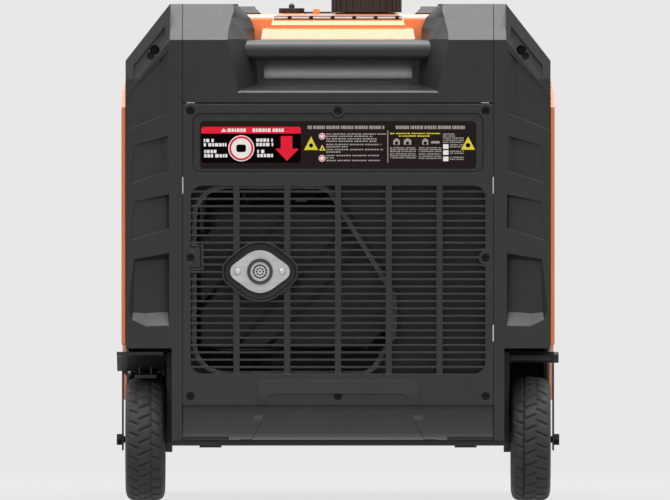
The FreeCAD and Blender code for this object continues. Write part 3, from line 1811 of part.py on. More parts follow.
housing = Piece("StarterHousing")
housing.turn(
    "yz",
    "H_Axis",
    [
        (152, 68),
        (152, 80),
        (155, 80),
        (155, 71),
        (188, 71),
        (192, 66),
        (192, 0),
        (157, 0),
        (157, 5),
        (188.5, 5),
        (188.5, 68),
    ],
)
housing_slots = [
    place(
        prism("xz", rectangle((22, 56), (-4, 4)), 187, 194, "AirSlot"),
        0, 0, d.crank_z, axis=(0, 1, 0), angle=45 * i,
    )
    for i in range(8)
]
rope_z = d.crank_z + d.pulley_radius
node(
    cut(
        fuse(on_crank(shroud), on_crank(housing), name="ShroudJoined"),
        box((10, 74), (d.starter_y - 6, d.starter_y + 6), (rope_z - 7, rope_z + 7), "RopeSlot"),
        *housing_slots,
        name="FanShroud",
    ),
    "fan_shroud",
)
pulley = Piece("Pulley")
groove = d.pulley_radius - d.rope_radius - 0.4
pulley.turn(
    "yz",
    "H_Axis",
    [
        (d.starter_y - 5, 5 + d.bore_clearance),
        (d.starter_y - 5, d.pulley_radius + 5),
        (d.starter_y - 3, d.pulley_radius + 5),
        (d.starter_y - 3, groove),
        (d.starter_y + 3, groove),
        (d.starter_y + 3, d.pulley_radius + 5),
        (d.starter_y + 5, d.pulley_radius + 5),
        (d.starter_y + 5, 5 + d.bore_clearance),
    ],
)
pulley.pocket("xz", [("circle", 28, 0, 9)], 150, 180)
pulley.repeat("Y_Axis", 0, 5, polar=True)
node(on_crank(pulley), "recoil_pulley")

grip = rounded(
    box((241, 256.5), (d.starter_y - 46, d.starter_y + 46), (rope_z - 11, rope_z + 11), "TGrip"),
    6,
    lambda e: True,
    "TGripRound",
)
node(
    fuse(
        grip,
        rod("x", 7, (230, d.starter_y, rope_z), 14, "GripNeck"),
        rod("x", d.rope_radius, (0, d.starter_y, rope_z), 232, "Rope"),
        name="RecoilHandle",
    ),
    "recoil_handle",
)

module = Piece("Inverter")
module.pad("xz", [rectangle((-168, 40), (84, 204))], 268, 304)
module.pocket("xz", [rectangle((-162, -157), (83, 205))], 267, 286)
module.repeat("X_Axis", 190, 20)
node(module.body, "inverter_module")
battery = fuse(
    rounded(box((84, 166), (204, 302), (81.5, 170), "BatteryCase"), 3, runs_along("z")),
    rod("z", 6, (102, 225, 168), 10, "Terminal"),
    rod("z", 6, (102, 281, 168), 10, "Terminal"),
    name="Battery",
)
node(battery, "battery")


# ---------------------------------------------------------------- side panels

inner_face = d.frame_half_width + 0.3
outer_face = d.panel_half_width


def side_panel(side, *openings):
    """A clip-on panel over the opening in a side frame."""
    outline = [
        (inner_face, 120),
        (outer_face - 1.5, 120),
        (outer_face, 124),
        (outer_face, 483),
        (inner_face + 0.6, 503),
        (inner_face, 503),
    ]
    blank = prism("xz", outline, -305, 305, "PanelBlank")
    tools = [
        rod("x", d.arch_radius + 5, (240, d.axle_y, d.wheel_radius), 30, "PanelArch"),
        box((240, 270), (-310, d.axle_y), (100, d.well_top + 5), "PanelFront"),
        prism("yz", [(-306, 503.5), (-306, 470), (-286, 503.5)], 240, 270, "Corner"),
        prism("yz", [(306, 503.5), (306, 470), (286, 503.5)], 240, 270, "Corner"),
        prism("yz", [(306, 119.5), (306, 150), (286, 119.5)], 240, 270, "Corner"),
        *openings,
    ]
    return cut(blank, *tools, name="SidePanel")


louvre_y, louvre_z = (24, 226), (228, 445)
left_opening = box((240, 270), (louvre_y[0] + 4, louvre_y[1] - 4), (232, 441), "LouvreOpening")
node(mirrored(side_panel(-1, left_opening), "LeftPanel"), "left_side_panel")

louvre = Piece("Louvre")
louvre.pad("yz", [rectangle(louvre_y, louvre_z)], -259.4, -258.1)
louvre.pad("yz", [rectangle((28.4, 221.6), (232.4, 440.6))], -259, -253.6)
louvre.pocket("yz", [rectangle((38, 212), (240, 247))], -262, -250)
louvre.repeat("Z_Axis", 13 * 14, 15)
node(louvre.body, "left_louvre")

cup_y = (d.starter_y - 60, d.starter_y + 60)
cup_z = (rope_z - 27, rope_z + 27)
cup_open = box((228, 262), cup_y, cup_z, "CupOpening")
vents = Piece("PanelVents").pad("yz", [rectangle((-90, 60), (300, 306))], 240, 270)
vents.repeat("Z_Axis", 14 * 8, 9)
cup = cut(
    box(
        (226, inner_face + 1),
        (cup_y[0] - 2.5, cup_y[1] + 2.5),
        (cup_z[0] - 2.5, cup_z[1] + 2.5),
        "CupBlock",
    ),
    box((228.5, 262), cup_y, cup_z, "CupInside"),
    rod("x", 4, (220, d.starter_y, rope_z), 20, "RopeHole"),
    name="Cup",
)
node(
    fuse(side_panel(1, cup_open, vents.body), cup, name="RightPanel"), "right_side_panel"
)


# ---------------------------------------------------------------- control end

face = far_end - d.panel_face
board = Piece("ControlPanel")
board.pad(
    "xz", [rectangle((-cover_half, cover_half), (d.body_bottom + 0.5, d.cowl_bottom))], face - 3, far_end
)
board.fillet(2, both(runs_along("x"), near(None, 325, 75.5, 1)))
board.pocket("xz", [rectangle((-168, 168), (128, 452))], face, far_end + 1)
board.fillet(12, both(runs_along("y"), lambda e: abs(e.valueAt(0).x) < 170))
board.pocket("xz", [rectangle((-176, 176), (84, 118))], face - 4, far_end - 3)
hollow_rim = cut(
    prism("xz", rectangle((-182, 182), (79, 474)), face - 4, far_end - 3, "RimHollow"),
    prism("xz", rectangle((-171, 171), (125, 455)), face - 5, far_end + 1, "RimKeep"),
    name="RimVoid",
)
low_grille = Piece("LowGrille").pad(
    "xz", [rectangle((-176, 176), (86, 88.6))], far_end - 3.2, far_end
)
low_grille.repeat("Z_Axis", 26, 5)
controls = [
    rod("y", 5.1, (x, face - 10, z), 30, "ControlHole")
    for x, z in ((-112, 322), (-52, 322))
]
controls += [
    box((4.7, 27.3), (face - 10, face + 5), (306.7, 337.3), "RockerHole"),
    rod("y", 5.3, (88, face - 10, 322), 30, "BreakerHole"),
]
panel_screws = [
    rod("y", 4.6, (x, far_end - 2, z), 10, "PanelScrewRecess")
    for x in (-176, 176)
    for z in (465, 290, 122)
]
node(
    fuse(
        cut(board.body, hollow_rim, *controls, *panel_screws, name="PanelOpened"),
        low_grille.body,
        name="ControlBoard",
    ),
    "control_panel",
)

display = rounded(
    box((-146, -46), (face, face + 3), (378, 424), "Display"), 4, runs_along("y"), "DisplayRound"
)
node(display, "display_window")

knob = Piece("ModeKnob")
knob.turn(
    "yz",
    "H_Axis",
    [
        (face - 8, 0),
        (face - 8, 5),
        (face + 0.4, 5),
        (face + 0.4, 21),
        (face + 3, 22),
        (face + 6, 19),
        (face + 6, 0),
    ],
)
knob.pad(
    "xz", [[(-5, -19), (5, -19), (3.5, 19), (0, 21), (-3.5, 19)]], face + 5, face + 14.5
)
place(knob.body, -112, 0, 322)
node(knob.body, "mode_knob")

button = Piece("StartButton")
button.turn(
    "yz",
    "H_Axis",
    [
        (face - 8, 0),
        (face - 8, 5),
        (face + 3.6, 5),
        (face + 3.6, 11),
        (face + 7, 11),
        (face + 8.5, 9.5),
        (face + 8.5, 0),
    ],
)
place(button.body, -52, 0, 322)
node(button.body, "start_button")
button_ring = cut(
    rod("y", 16, (-52, face, 322), 5, "ButtonCollar"),
    rod("y", 11.3, (-52, face - 1, 322), 8, "CollarHole"),
    name="ButtonRing",
)

rocker_side = [(-14.5, -4), (-14.5, 2), (-14.5, 5.5), (0, 3), (14.5, 1.2), (14.5, -4)]
rocker_points = [(face + out, 322 + up) for up, out in rocker_side]
rocker = cut(
    prism("yz", rocker_points, 6, 26, "EcoRocker"),
    rod("x", 1, (5, face - 1, 322), 22, "RockerBore"),
    name="RockerKey",
)
node(rocker, "eco_switch")
breaker = Piece("BreakerButton")
breaker.turn(
    "yz",
    "H_Axis",
    [(face - 8, 0), (face - 8, 5), (face + 5, 5), (face + 6.5, 3.5), (face + 6.5, 0)],
)
place(breaker.body, 88, 0, 322)
node(breaker.body, "breaker_button")
breaker_ring = cut(
    rod("y", 10, (88, face, 322), 2.5, "BreakerCollar"),
    rod("y", 5.3, (88, face - 1, 322), 8, "BreakerBore"),
    name="BreakerRing",
)
node(group(button_ring, breaker_ring, name="SwitchCollars"), "switch_collars")

outlets = []
for x in (-84, 4):
    plate = rounded(
        box((x - 33, x + 33), (face, face + 1.8), (d.socket_z - 46, d.socket_z + 46), "Plate"),
        3,
        runs_along("y"),
    )
    holes = []
    for z in (d.socket_z - 20, d.socket_z + 20):
        holes.append(box((x - 8.4, x - 5.9), (face - 0.5, face + 5), (z - 1, z + 8), "Slot"))
        holes.append(box((x + 5.9, x + 8.4), (face - 0.5, face + 5), (z - 1, z + 8), "Slot"))
        holes.append(rod("y", 2.6, (x, face - 0.5, z - 8), 6, "EarthHole"))
    faces = [
        rod("y", 16.5, (x, face, z), 3, "Receptacle")
        for z in (d.socket_z - 20, d.socket_z + 20)
    ]
    outlets.append(cut(fuse(plate, *faces), *holes, name="DuplexOutlet"))
round_outlet = cut(
    fuse(
        rod("y", 31, (102, face, d.socket_z), 1.8, "RoundPlate"),
        rod("y", 24, (102, face, d.socket_z), 3, "RoundFace"),
    ),
    *[
        place(
            prism("xz", rectangle((13, 15.5), (-6, 6)), face - 0.5, face + 5, "CurvedSlot"),
            102, 0, d.socket_z, axis=(0, 1, 0), angle=turn,
        )
        for turn in (0, 120, 240)
    ],
    name="RoundOutlet",
)
outlets.append(round_outlet)

hinge_z = d.socket_z + 50
hinge_y = face + 6.4
for x, name in ((-84, "outlet_lid_1"), (4, "outlet_lid_2")):
    shell = cut(
        rounded(
            box((x - 35, x + 35), (face + 2.2, face + 9), (d.socket_z - 48, hinge_z - 4), "Lid"),
            3,
            both(runs_along("y")),
            "LidRound",
        ),
        box(
            (x - 32.5, x + 32.5),
            (face + 1, face + 6.5),
            (d.socket_z - 45.5, hinge_z - 6),
            "LidInside",
        ),
        name="LidShell",
    )
    knuckle = rod("x", 3, (x - 22, hinge_y, hinge_z), 44, "Knuckle")
    leaf = box((x - 22, x + 22), (face + 5, face + 8), (hinge_z - 6, hinge_z), "Leaf")
    lid = cut(
        fuse(shell, knuckle, leaf, name="LidJoined"),
        rod("x", 1.55, (x - 30, hinge_y, hinge_z), 60, "PinBore"),
        name="OutletLid",
    )
    node(lid, name)
hinges = []
for x in (-84, 4):
    ears = [
        box((low, low + 3), (face, face + 9), (hinge_z - 3, hinge_z + 3.5), "Ear")
        for low in (x - 25.5, x + 22.5)
    ]
    bar = box((x - 25.5, x + 25.5), (face, face + 2), (hinge_z - 2, hinge_z + 3.5), "HingeBase")
    hinges.append(fuse(*ears, bar, rod("x", 1.5, (x - 25, hinge_y, hinge_z), 50, "HingePin")))
node(group(*outlets, *hinges, name="AcOutlets"), "ac_outlets")

terminal = fuse(
    rod("y", 4, (148, face, 152), 8, "Stud"),
    place(prism("xz", hexagon(13), 0, 3, "Nut"), 148, face, 152),
    rod("y", 7, (148, face + 4, 152), 6, "ThumbNut"),
    name="GroundTerminal",
)
node(terminal, "ground_terminal")


# ---------------------------------------------------------------- pull-out handle

tow_y = 240
sleeves = []
for side in (-1, 1):
    sleeves.append(
        tube(
            "z",
            d.tow_radius + 2,
            d.tow_radius + d.bore_clearance,
            (side * d.tow_x, tow_y, d.tow_bottom - 10),
            418,
            "Sleeve",
        )
    )
brace = box((-54, 54), (tow_y - 1.5, tow_y + 1.5), (300, 320), "SleeveBrace")
low_brace = box((-54, 54), (tow_y - 1.5, tow_y + 1.5), (130, 150), "SleeveBrace")
node(fuse(*sleeves, brace, low_brace, name="TowSleeves"), "tow_sleeves")
tow_parts = [
    rod("z", d.tow_radius, (side * d.tow_x, tow_y, d.tow_bottom), 425, "TowTube")
    for side in (-1, 1)
]
tow_grip = rounded(
    box((-73, 73), (tow_y - 11, tow_y + 11), (551, 573), "TowGrip"), 8, lambda e: True, "TowRound"
)
node(fuse(*tow_parts, tow_grip, name="TowHandle"), "tow_handle")


# ---------------------------------------------------------------- check and write out

doc.recompute()
problems = []
for thing in doc.Objects:
    if any(flag in ("Invalid", "Error") for flag in thing.State):
        problems.append(f"{thing.Name} ({thing.Label}): {thing.State}")
for name, thing in NODES.items():
    if thing.Shape.isNull() or not thing.Shape.isValid() or thing.Shape.Volume <= 0:
        problems.append(f"{name}: no valid solid")
if problems:
    raise RuntimeError("; ".join(problems))

os.makedirs("parts", exist_ok=True)
for name, thing in NODES.items():
    thing.Shape.exportStep(f"parts/{name}.step")
print(f"{len(NODES)} sub-parts written")
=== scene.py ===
import json
import math

import bmesh
import bpy
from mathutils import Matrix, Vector


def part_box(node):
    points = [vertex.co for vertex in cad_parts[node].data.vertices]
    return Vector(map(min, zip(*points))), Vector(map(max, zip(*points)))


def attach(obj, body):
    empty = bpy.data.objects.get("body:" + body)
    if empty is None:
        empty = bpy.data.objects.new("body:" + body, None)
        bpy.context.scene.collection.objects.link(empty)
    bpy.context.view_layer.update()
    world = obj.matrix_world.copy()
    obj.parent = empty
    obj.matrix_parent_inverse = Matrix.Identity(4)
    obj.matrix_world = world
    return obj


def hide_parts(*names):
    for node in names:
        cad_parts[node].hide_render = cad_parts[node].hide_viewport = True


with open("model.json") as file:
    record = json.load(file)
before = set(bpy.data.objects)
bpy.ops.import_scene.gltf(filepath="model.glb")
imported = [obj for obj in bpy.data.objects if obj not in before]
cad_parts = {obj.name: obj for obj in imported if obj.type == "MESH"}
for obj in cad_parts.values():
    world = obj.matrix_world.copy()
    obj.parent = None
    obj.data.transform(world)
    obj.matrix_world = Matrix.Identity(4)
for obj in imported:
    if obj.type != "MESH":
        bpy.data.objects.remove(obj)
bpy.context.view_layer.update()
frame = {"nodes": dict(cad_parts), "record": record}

MM = 0.001

NODES = frame["nodes"]
RECORD = frame["record"]
SLOT_OF = {part["node"]: part["material_slot"] for part in RECORD["subparts"]}
BODY_OF = {node: body for body, nodes in RECORD["behaviour"]["bodies"].items() for node in nodes}


# ------------------------------------------------------------------ node trees

def add(tree, kind, inputs=None, **settings):
    """One shader node with its settings and unlinked input values."""
    made = tree.nodes.new("ShaderNode" + kind)
    for name, value in settings.items():
        setattr(made, name, value)
    for name, value in (inputs or {}).items():
        made.inputs[name].default_value = value
    return made


def rgba(colour):
    """A colour of three numbers with full alpha."""
    return (*colour, 1.0)


def set_stops(ramp, stops):
    """The stops of a colour ramp, each a place and a colour."""
    elements = ramp.color_ramp.elements
    while len(elements) < len(stops):
        elements.new(0.5)
    for element, (place, colour) in zip(elements, stops):
        element.position = place
        element.color = rgba(colour)


class Finish:
    """A Principled material, its object coordinates and the helpers that add detail to it."""

    def __init__(self, name, roughness=0.45, metallic=0.0, specular=0.5, **sockets):
        self.material = bpy.data.materials.new(name)
        self.material.use_nodes = True
        self.tree = self.material.node_tree
        self.shader = self.tree.nodes["Principled BSDF"]
        self.shader.inputs["Roughness"].default_value = roughness
        self.shader.inputs["Metallic"].default_value = metallic
        self.shader.inputs["Specular IOR Level"].default_value = specular
        for socket, value in sockets.items():
            self.shader.inputs[socket.replace("_", " ")].default_value = value
        self.place = add(self.tree, "TexCoord").outputs["Object"]
        self.normal = None

    def link(self, start, end):
        self.tree.links.new(start, end)

    def stretched(self, scale):
        """Object coordinates scaled differently along each axis, for brushed or drawn surfaces."""
        mapping = add(self.tree, "Mapping", {"Scale": scale})
        self.link(self.place, mapping.inputs["Vector"])
        return mapping.outputs["Vector"]

    def noise(self, scale, detail=3.0, rough=0.55, place=None):
        """Noise at so many cells to the metre."""
        made = add(self.tree, "TexNoise", {"Scale": scale, "Detail": detail, "Roughness": rough})
        self.link(place or self.place, made.inputs["Vector"])
        return made.outputs["Fac"]

    def cells(self, scale, feature="F1", place=None):
        """Distance to the nearest cell centre, for cast and orange-peel surfaces."""
        made = add(self.tree, "TexVoronoi", {"Scale": scale}, feature=feature)
        self.link(place or self.place, made.inputs["Vector"])
        return made.outputs["Distance"]

    def spread(self, value, low, high, start=0.3, end=0.7):
        """A value of 0 to 1 carried onto another range."""
        made = add(self.tree, "MapRange", {"From Min": start, "From Max": end,
                                           "To Min": low, "To Max": high})
        self.link(value, made.inputs["Value"])
        return made.outputs["Result"]

    def ramp(self, value, *stops):
        """Colours along a value of 0 to 1, each stop a place and a colour."""
        made = add(self.tree, "ValToRGB")
        set_stops(made, stops)
        self.link(value, made.inputs["Fac"])
        return made.outputs["Color"]

    def colour(self, value, *stops):
        self.link(self.ramp(value, *stops), self.shader.inputs["Base Color"])
        return self

    def gloss(self, value, low, high):
        self.link(self.spread(value, low, high), self.shader.inputs["Roughness"])
        return self

    def rounded(self, radius):
        """Edges that catch light as moulded edges of this radius do."""
        edge = add(self.tree, "Bevel", {"Radius": radius}, samples=4)
        self.normal = edge.outputs["Normal"]
        self.link(self.normal, self.shader.inputs["Normal"])
        return self

    def bump(self, height, strength, depth):
        """Relief of this depth in metres on top of what is there."""
        made = add(self.tree, "Bump", {"Strength": strength, "Distance": depth})
        self.link(height, made.inputs["Height"])
        if self.normal is not None:
            self.link(self.normal, made.inputs["Normal"])
        self.normal = made.outputs["Normal"]
        self.link(self.normal, self.shader.inputs["Normal"])
        return self


# ------------------------------------------------------------------ materials

def shade(colour, factor):
    """A lighter or darker version of a colour."""
    return tuple(min(1.0, channel * factor) for channel in colour)


def moulded(name, colour, roughness=0.42, grain=1700.0, relief=0.22, edge=0.0008, specular=0.5, vary=0.15):
    """Moulded plastic: a fine spark-eroded grain, slow cloudy changes of gloss and faint handling marks."""
    made = Finish(name, roughness, specular=specular)
    cloud = made.noise(26.0, 5.0, 0.6)
    made.colour(cloud, (0.3, shade(colour, 1 - vary)), (0.55, colour), (0.75, shade(colour, 1 + vary)))
    made.gloss(made.noise(90.0, 4.0, 0.65), roughness - 0.02, roughness + 0.03)
    made.rounded(edge)
    made.bump(made.noise(grain, 2.0), relief, 0.00012)
    return made


def lacquered(name, colour, deep):
    """Glossy through-coloured plastic with a clear coat, a slight orange peel and fine dust."""
    made = Finish(name, 0.3, Coat_Weight=1.0, Coat_Roughness=0.14, Coat_IOR=1.9)
    made.colour(made.noise(18.0, 4.0), (0.3, deep), (0.62, colour), (0.8, shade(colour, 1.06)))
    made.gloss(made.noise(240.0, 4.0, 0.7), 0.24, 0.38)
    made.rounded(0.0012)
    made.bump(made.cells(420.0), 0.05, 0.00004)
    return made


def rubber(name, colour, roughness=0.72):
    """Rubber with a dusty bloom, mould speckle and a fine matt grain."""
    made = Finish(name, roughness, specular=0.35)
    bloom = made.noise(70.0, 6.0, 0.7)
    made.colour(bloom, (0.25, shade(colour, 0.75)), (0.55, colour), (0.85, shade(colour, 1.5)))
    made.gloss(made.noise(160.0, 4.0), roughness - 0.1, roughness + 0.12)
    made.rounded(0.0006)
    made.bump(made.noise(1400.0, 3.0), 0.35, 0.0002)
    return made


def sheet_metal(name, colour, roughness=0.32, brush=(40.0, 1.0, 40.0), metallic=1.0):
    """Plated or bare metal drawn along one direction, with small scratches and dull patches."""
    made = Finish(name, roughness, metallic)
    drawn = made.noise(14.0, 6.0, 0.7, made.stretched(brush))
    made.colour(drawn, (0.25, shade(colour, 0.72)), (0.55, colour), (0.8, shade(colour, 1.18)))
    made.gloss(made.noise(55.0, 5.0, 0.7), roughness - 0.1, roughness + 0.16)
    made.rounded(0.0005)
    made.bump(drawn, 0.2, 0.00008)
    return made


def painted(name, colour, roughness=0.4, specular=0.5):
    """Powder-coated steel: a pebbled coat with worn, slightly glossier high spots."""
    made = Finish(name, roughness, specular=specular)
    patch = made.noise(38.0, 5.0, 0.65)
    made.colour(patch, (0.3, shade(colour, 0.8)), (0.6, colour), (0.82, shade(colour, 1.35)))
    made.gloss(patch, roughness - 0.08, roughness + 0.1)
    made.rounded(0.0008)
    made.bump(made.cells(900.0), 0.3, 0.00012)
    return made


def cast(name, colour, roughness=0.55):
    """Sand-cast metal with a coarse skin, darker in its pits."""
    made = Finish(name, roughness, 0.85)
    skin = made.noise(420.0, 5.0, 0.7)
    made.colour(skin, (0.3, shade(colour, 0.6)), (0.6, colour), (0.8, shade(colour, 1.2)))
    made.gloss(skin, roughness - 0.12, roughness + 0.12)
    made.bump(skin, 0.5, 0.0003)
    return made


def heated(name, colour):
    """Muffler steel with straw and blue heat colours and a scaled surface."""
    made = Finish(name, 0.5, 0.3)
    heat = made.noise(9.0, 4.0, 0.6)
    straw, blue = (0.048, 0.043, 0.038), (0.036, 0.037, 0.041)
    made.colour(heat, (0.3, colour), (0.5, straw), (0.62, shade(colour, 0.8)), (0.78, blue))
    scale = made.noise(300.0, 5.0, 0.75)
    made.gloss(scale, 0.38, 0.66)
    made.bump(scale, 0.4, 0.0002)
    return made


def laminations(name, colour, copper):
    """A stack of thin steel sheets with copper windings between the poles."""
    made = Finish(name, 0.42, 0.9)
    wave = add(made.tree, "TexWave", {"Scale": 160.0, "Distortion": 0.4}, bands_direction="Y")
    made.link(made.place, wave.inputs["Vector"])
    made.colour(made.noise(30.0, 2.0), (0.42, colour), (0.5, shade(copper, 0.8)), (0.62, copper))
    made.bump(wave.outputs["Fac"], 0.4, 0.0003)
    return made


def film(name, colour, roughness=0.5, specular=0.16):
    """Printed film: matt, with a faint ripple and small scuffs."""
    made = Finish(name, roughness, specular=specular)
    scuff = made.noise(120.0, 6.0, 0.75)
    made.colour(scuff, (0.25, shade(colour, 0.85)), (0.55, colour), (0.85, shade(colour, 1.12)))
    made.gloss(scuff, roughness - 0.06, roughness + 0.1)
    made.bump(made.noise(35.0, 2.0), 0.06, 0.0004)
    return made


def glazed(name, colour, roughness=0.08):
    """A dark glossy window or glaze with faint smears."""
    made = Finish(name, roughness, Coat_Weight=1.0, Coat_Roughness=0.04)
    smear = made.noise(45.0, 5.0, 0.7)
    made.colour(smear, (0.3, shade(colour, 0.8)), (0.7, shade(colour, 1.2)))
    made.gloss(smear, roughness - 0.02, roughness + 0.1)
    made.rounded(0.0006)
    return made


DARK = (0.0125, 0.0125, 0.0129)
FINISHES = {
    "shell_plastic": moulded("shell_plastic", DARK, 0.43),
    "handle_plastic": moulded("handle_plastic", (0.02, 0.021, 0.0215), 0.34, 1100.0, 0.2, 0.0006),
    "orange_plastic": lacquered("orange_plastic", (0.87, 0.2, 0.016), (0.83, 0.175, 0.013)),
    "black_plastic": moulded("black_plastic", (0.0095, 0.009, 0.0092), 0.4, 1500.0, 0.3, 0.0007),
    "button_green": moulded("button_green", (0.012, 0.2, 0.035), 0.3, 900.0, 0.15),
    "button_red": moulded("button_red", (0.42, 0.012, 0.012), 0.3, 900.0, 0.15),
    "tank_plastic": moulded("tank_plastic", (0.035, 0.034, 0.032), 0.5, 700.0, 0.3, 0.002),
    "rim_plastic": moulded("rim_plastic", (0.013, 0.013, 0.0135), 0.36, 1300.0, 0.25),
    "label_film": film("label_film", (0.0085, 0.0022, 0.0022), 0.5),
    "painted_steel": painted("painted_steel", (0.0125, 0.0125, 0.013)),
    "bright_steel": sheet_metal("bright_steel", (0.72, 0.72, 0.73), 0.5),
    "screw_steel": painted("screw_steel", (0.0012, 0.0012, 0.0013), 0.5, 0.2),
    "stator_core": laminations("stator_core", (0.2, 0.2, 0.21), (0.62, 0.26, 0.12)),
    "stainless": sheet_metal("stainless", (0.7, 0.7, 0.7), 0.36, (1.0, 1.0, 30.0)),
    "hot_steel": heated("hot_steel", (0.042, 0.041, 0.04)),
    "cast_aluminium": cast("cast_aluminium", (0.2, 0.2, 0.21)),
    "plug_ceramic": glazed("plug_ceramic", (0.75, 0.74, 0.7), 0.12),
    "tyre_rubber": rubber("tyre_rubber", (0.023, 0.023, 0.0235), 0.62),
    "foot_rubber": rubber("foot_rubber", (0.016, 0.016, 0.016), 0.75),
    "display_glass": glazed("display_glass", (0.012, 0.014, 0.016)),
}


def dress(thing, slot):
    """Gives an object the finish of a record slot as its only material."""
    materials = thing.data.materials
    materials.clear()
    materials.append(FINISHES[slot].material)


for node_name, node in NODES.items():
    dress(node, SLOT_OF[node_name])


# ------------------------------------------------------------------ new pieces

def piece(name, mesh, slot, body="chassis", smooth=True, sharp=35.0, finish=None):
    """A new mesh object that rides on a body and takes the finish given, or else the finish of a slot."""
    made = bpy.data.objects.new(name, mesh)
    bpy.context.scene.collection.objects.link(made)
    if smooth:
        mesh.shade_smooth()
        mesh.set_sharp_from_angle(angle=math.radians(sharp))
    if finish is None:
        dress(made, slot)
    else:
        mesh.materials.append(finish.material)
    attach(made, body)
    return made


def mesh_from(name, points, faces):
    """A mesh from its points and faces, with the faces all turned outwards."""
    mesh = bpy.data.meshes.new(name)
    mesh.from_pydata([tuple(point) for point in points], [], faces)
    work = bmesh.new()
    work.from_mesh(mesh)
    bmesh.ops.recalc_face_normals(work, faces=work.faces)
    work.to_mesh(mesh)
    work.free()
    return mesh


# ------------------------------------------------------------------ tyres

LUGS = 32
STEPS_PER_LUG = 12
TREAD_RADIUS = 75 * MM
RING_GROOVE = (0.9 * MM, 2.2 * MM)    # half width and depth
SLANT_GROOVE = (1.5 * MM, 2.0 * MM)
SLANT = 0.95                          # turns of a slanted groove per metre across
SHOULDER = 20.5 * MM                  # the slanted grooves fade out short of this
FADE = 3 * MM
STRIP_MIDDLE = 13.5 * MM
TREAD_EDGE = 0.9                      # share of the radius above which the tread is cut


def through(points, steps):
    """Points on a smooth curve through the ones given."""
    made = []
    ends = [points[0], *points, points[-1]]
    for a, b, c, d in zip(ends, ends[1:], ends[2:], ends[3:]):
        for step in range(steps):
            t = step / steps
            made.append(tuple(
                0.5 * (2 * q + (r - p) * t + (2 * p - 5 * q + 4 * r - s) * t * t
                       + (3 * q - p - 3 * r + s) * t ** 3)
                for p, q, r, s in zip(a, b, c, d)))
    return made + [points[-1]]


def groove(distance, half_width, depth):
    """How deep a groove with slanted walls is at this distance from its middle line."""
    wall = 0.4 * half_width
    return depth * max(0.0, min(1.0, (half_width - abs(distance)) / wall))


def tread_depth(across, turn, rings):
    """How far the tread is cut in at one place, from two ring grooves and slanted grooves between them."""
    pitch = 1.0 / LUGS
    cut = max(groove(across - ring, *RING_GROOVE) for ring in rings)
    strip = sum(across > ring for ring in rings)
    slope = (1.0, -1.0, 1.0)[strip]
    middle = (-STRIP_MIDDLE, sum(rings) / 2, STRIP_MIDDLE)[strip]
    fade = max(0.0, min(1.0, (SHOULDER - abs(across)) / FADE))
    shifted = turn + slope * (across - middle) * SLANT + 0.5 * pitch * (strip == 1)
    phase = (shifted / pitch) % 1.0 - 0.5
    slant = groove(phase * pitch * 2 * math.pi * TREAD_RADIUS, *SLANT_GROOVE) * fade
    return max(cut, slant)


def tyre(name, node, rings):
    """A tyre of the same outline as its CAD solid, with a cut tread."""
    low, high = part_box(node)
    middle = (low + high) / 2
    radius, half = (high.z - low.z) / 2, (high.x - low.x) / 2
    rise = ((-0.87, 0.667), (-0.98, 0.75), (-0.995, 0.83), (-0.87, 0.93), (-0.5, 0.985))
    fall = [(-across, out) for across, out in reversed(rise)]
    section = through([(across * half, out * radius) for across, out in (*rise, (0.0, 1.0), *fall)], 7)
    turns = LUGS * STEPS_PER_LUG
    points, faces = [], []
    for step in range(turns):
        turn = step / turns
        angle = 2 * math.pi * turn
        for across, out in section:
            across = max(-half, min(half, across))
            reach = min(out, radius)
            if reach > TREAD_EDGE * radius:
                reach -= tread_depth(across, turn, rings)
            points.append((middle.x + across, middle.y + reach * math.sin(angle),
                           middle.z + reach * math.cos(angle)))
    count = len(section)
    for step in range(turns):
        here, there = step * count, (step + 1) % turns * count
        for place in range(count - 1):
            faces.append((here + place, here + place + 1, there + place + 1, there + place))
        faces.append((here + count - 1, here, there, there + count - 1))
    made = piece(name, mesh_from(name, points, faces), "tyre_rubber", BODY_OF[node], sharp=40.0)
    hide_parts(node)
    return made


tyre("left_tyre_treaded", "left_tyre", (-7.8 * MM, 7.6 * MM))
tyre("right_tyre_treaded", "right_tyre", (-9.0 * MM, 6.0 * MM))


# ------------------------------------------------------------------ flat printing

def block(low_x, high_x, low_z, high_z, low_round=0.0, high_round=0.0):
    """A rectangle in millimetres, with its lower and its upper corners rounded as asked."""
    made = []
    corners = ((1, 1, high_round, 0), (-1, 1, high_round, 90),
               (-1, -1, low_round, 180), (1, -1, low_round, 270))
    for side, up, reach, start in corners:
        x = (high_x if side > 0 else low_x) - side * reach
        z = (high_z if up > 0 else low_z) - up * reach
        for step in range(6 if reach else 1):
            angle = math.radians(start + 18 * step)
            made.append((x + reach * math.cos(angle), z + reach * math.sin(angle)))
    return made


def disc(x, z, radius, sides=40):
    """A round spot."""
    turns = [2 * math.pi * step / sides for step in range(sides)]
    return [(x + radius * math.cos(turn), z + radius * math.sin(turn)) for turn in turns]


def wedge(middle, half, low, high):
    """A triangle standing on its base."""
    return [(middle - half, low), (middle + half, low), (middle, high)]


WIDTHS = (1.0, 0.7, 1.25, 0.9, 0.55, 1.1, 0.8)    # of the blocks of a row, in strides
GAP, WIDE_GAP, BLOCKS_TO_WIDE_GAP = 0.28, 0.8, 6
LEAST_WIDTH = 0.3


def row(low, high, middle, height, stride):
    """Small blocks of uneven widths in a line, standing in for a line of print."""
    made = []
    place, count = low, int(abs(low) + middle)
    while place < high - LEAST_WIDTH * stride:
        end = min(high, place + stride * WIDTHS[count % len(WIDTHS)])
        made.append(block(place, end, middle - height / 2, middle + height / 2))
        wide = count % BLOCKS_TO_WIDE_GAP == BLOCKS_TO_WIDE_GAP - 1
        place = end + stride * (WIDE_GAP if wide else GAP)
        count += 1
    return made


def raised(outlines, height):
    """Outlines paired with the height in millimetres at which they stand."""
    return [(outline, height) for outline in outlines]


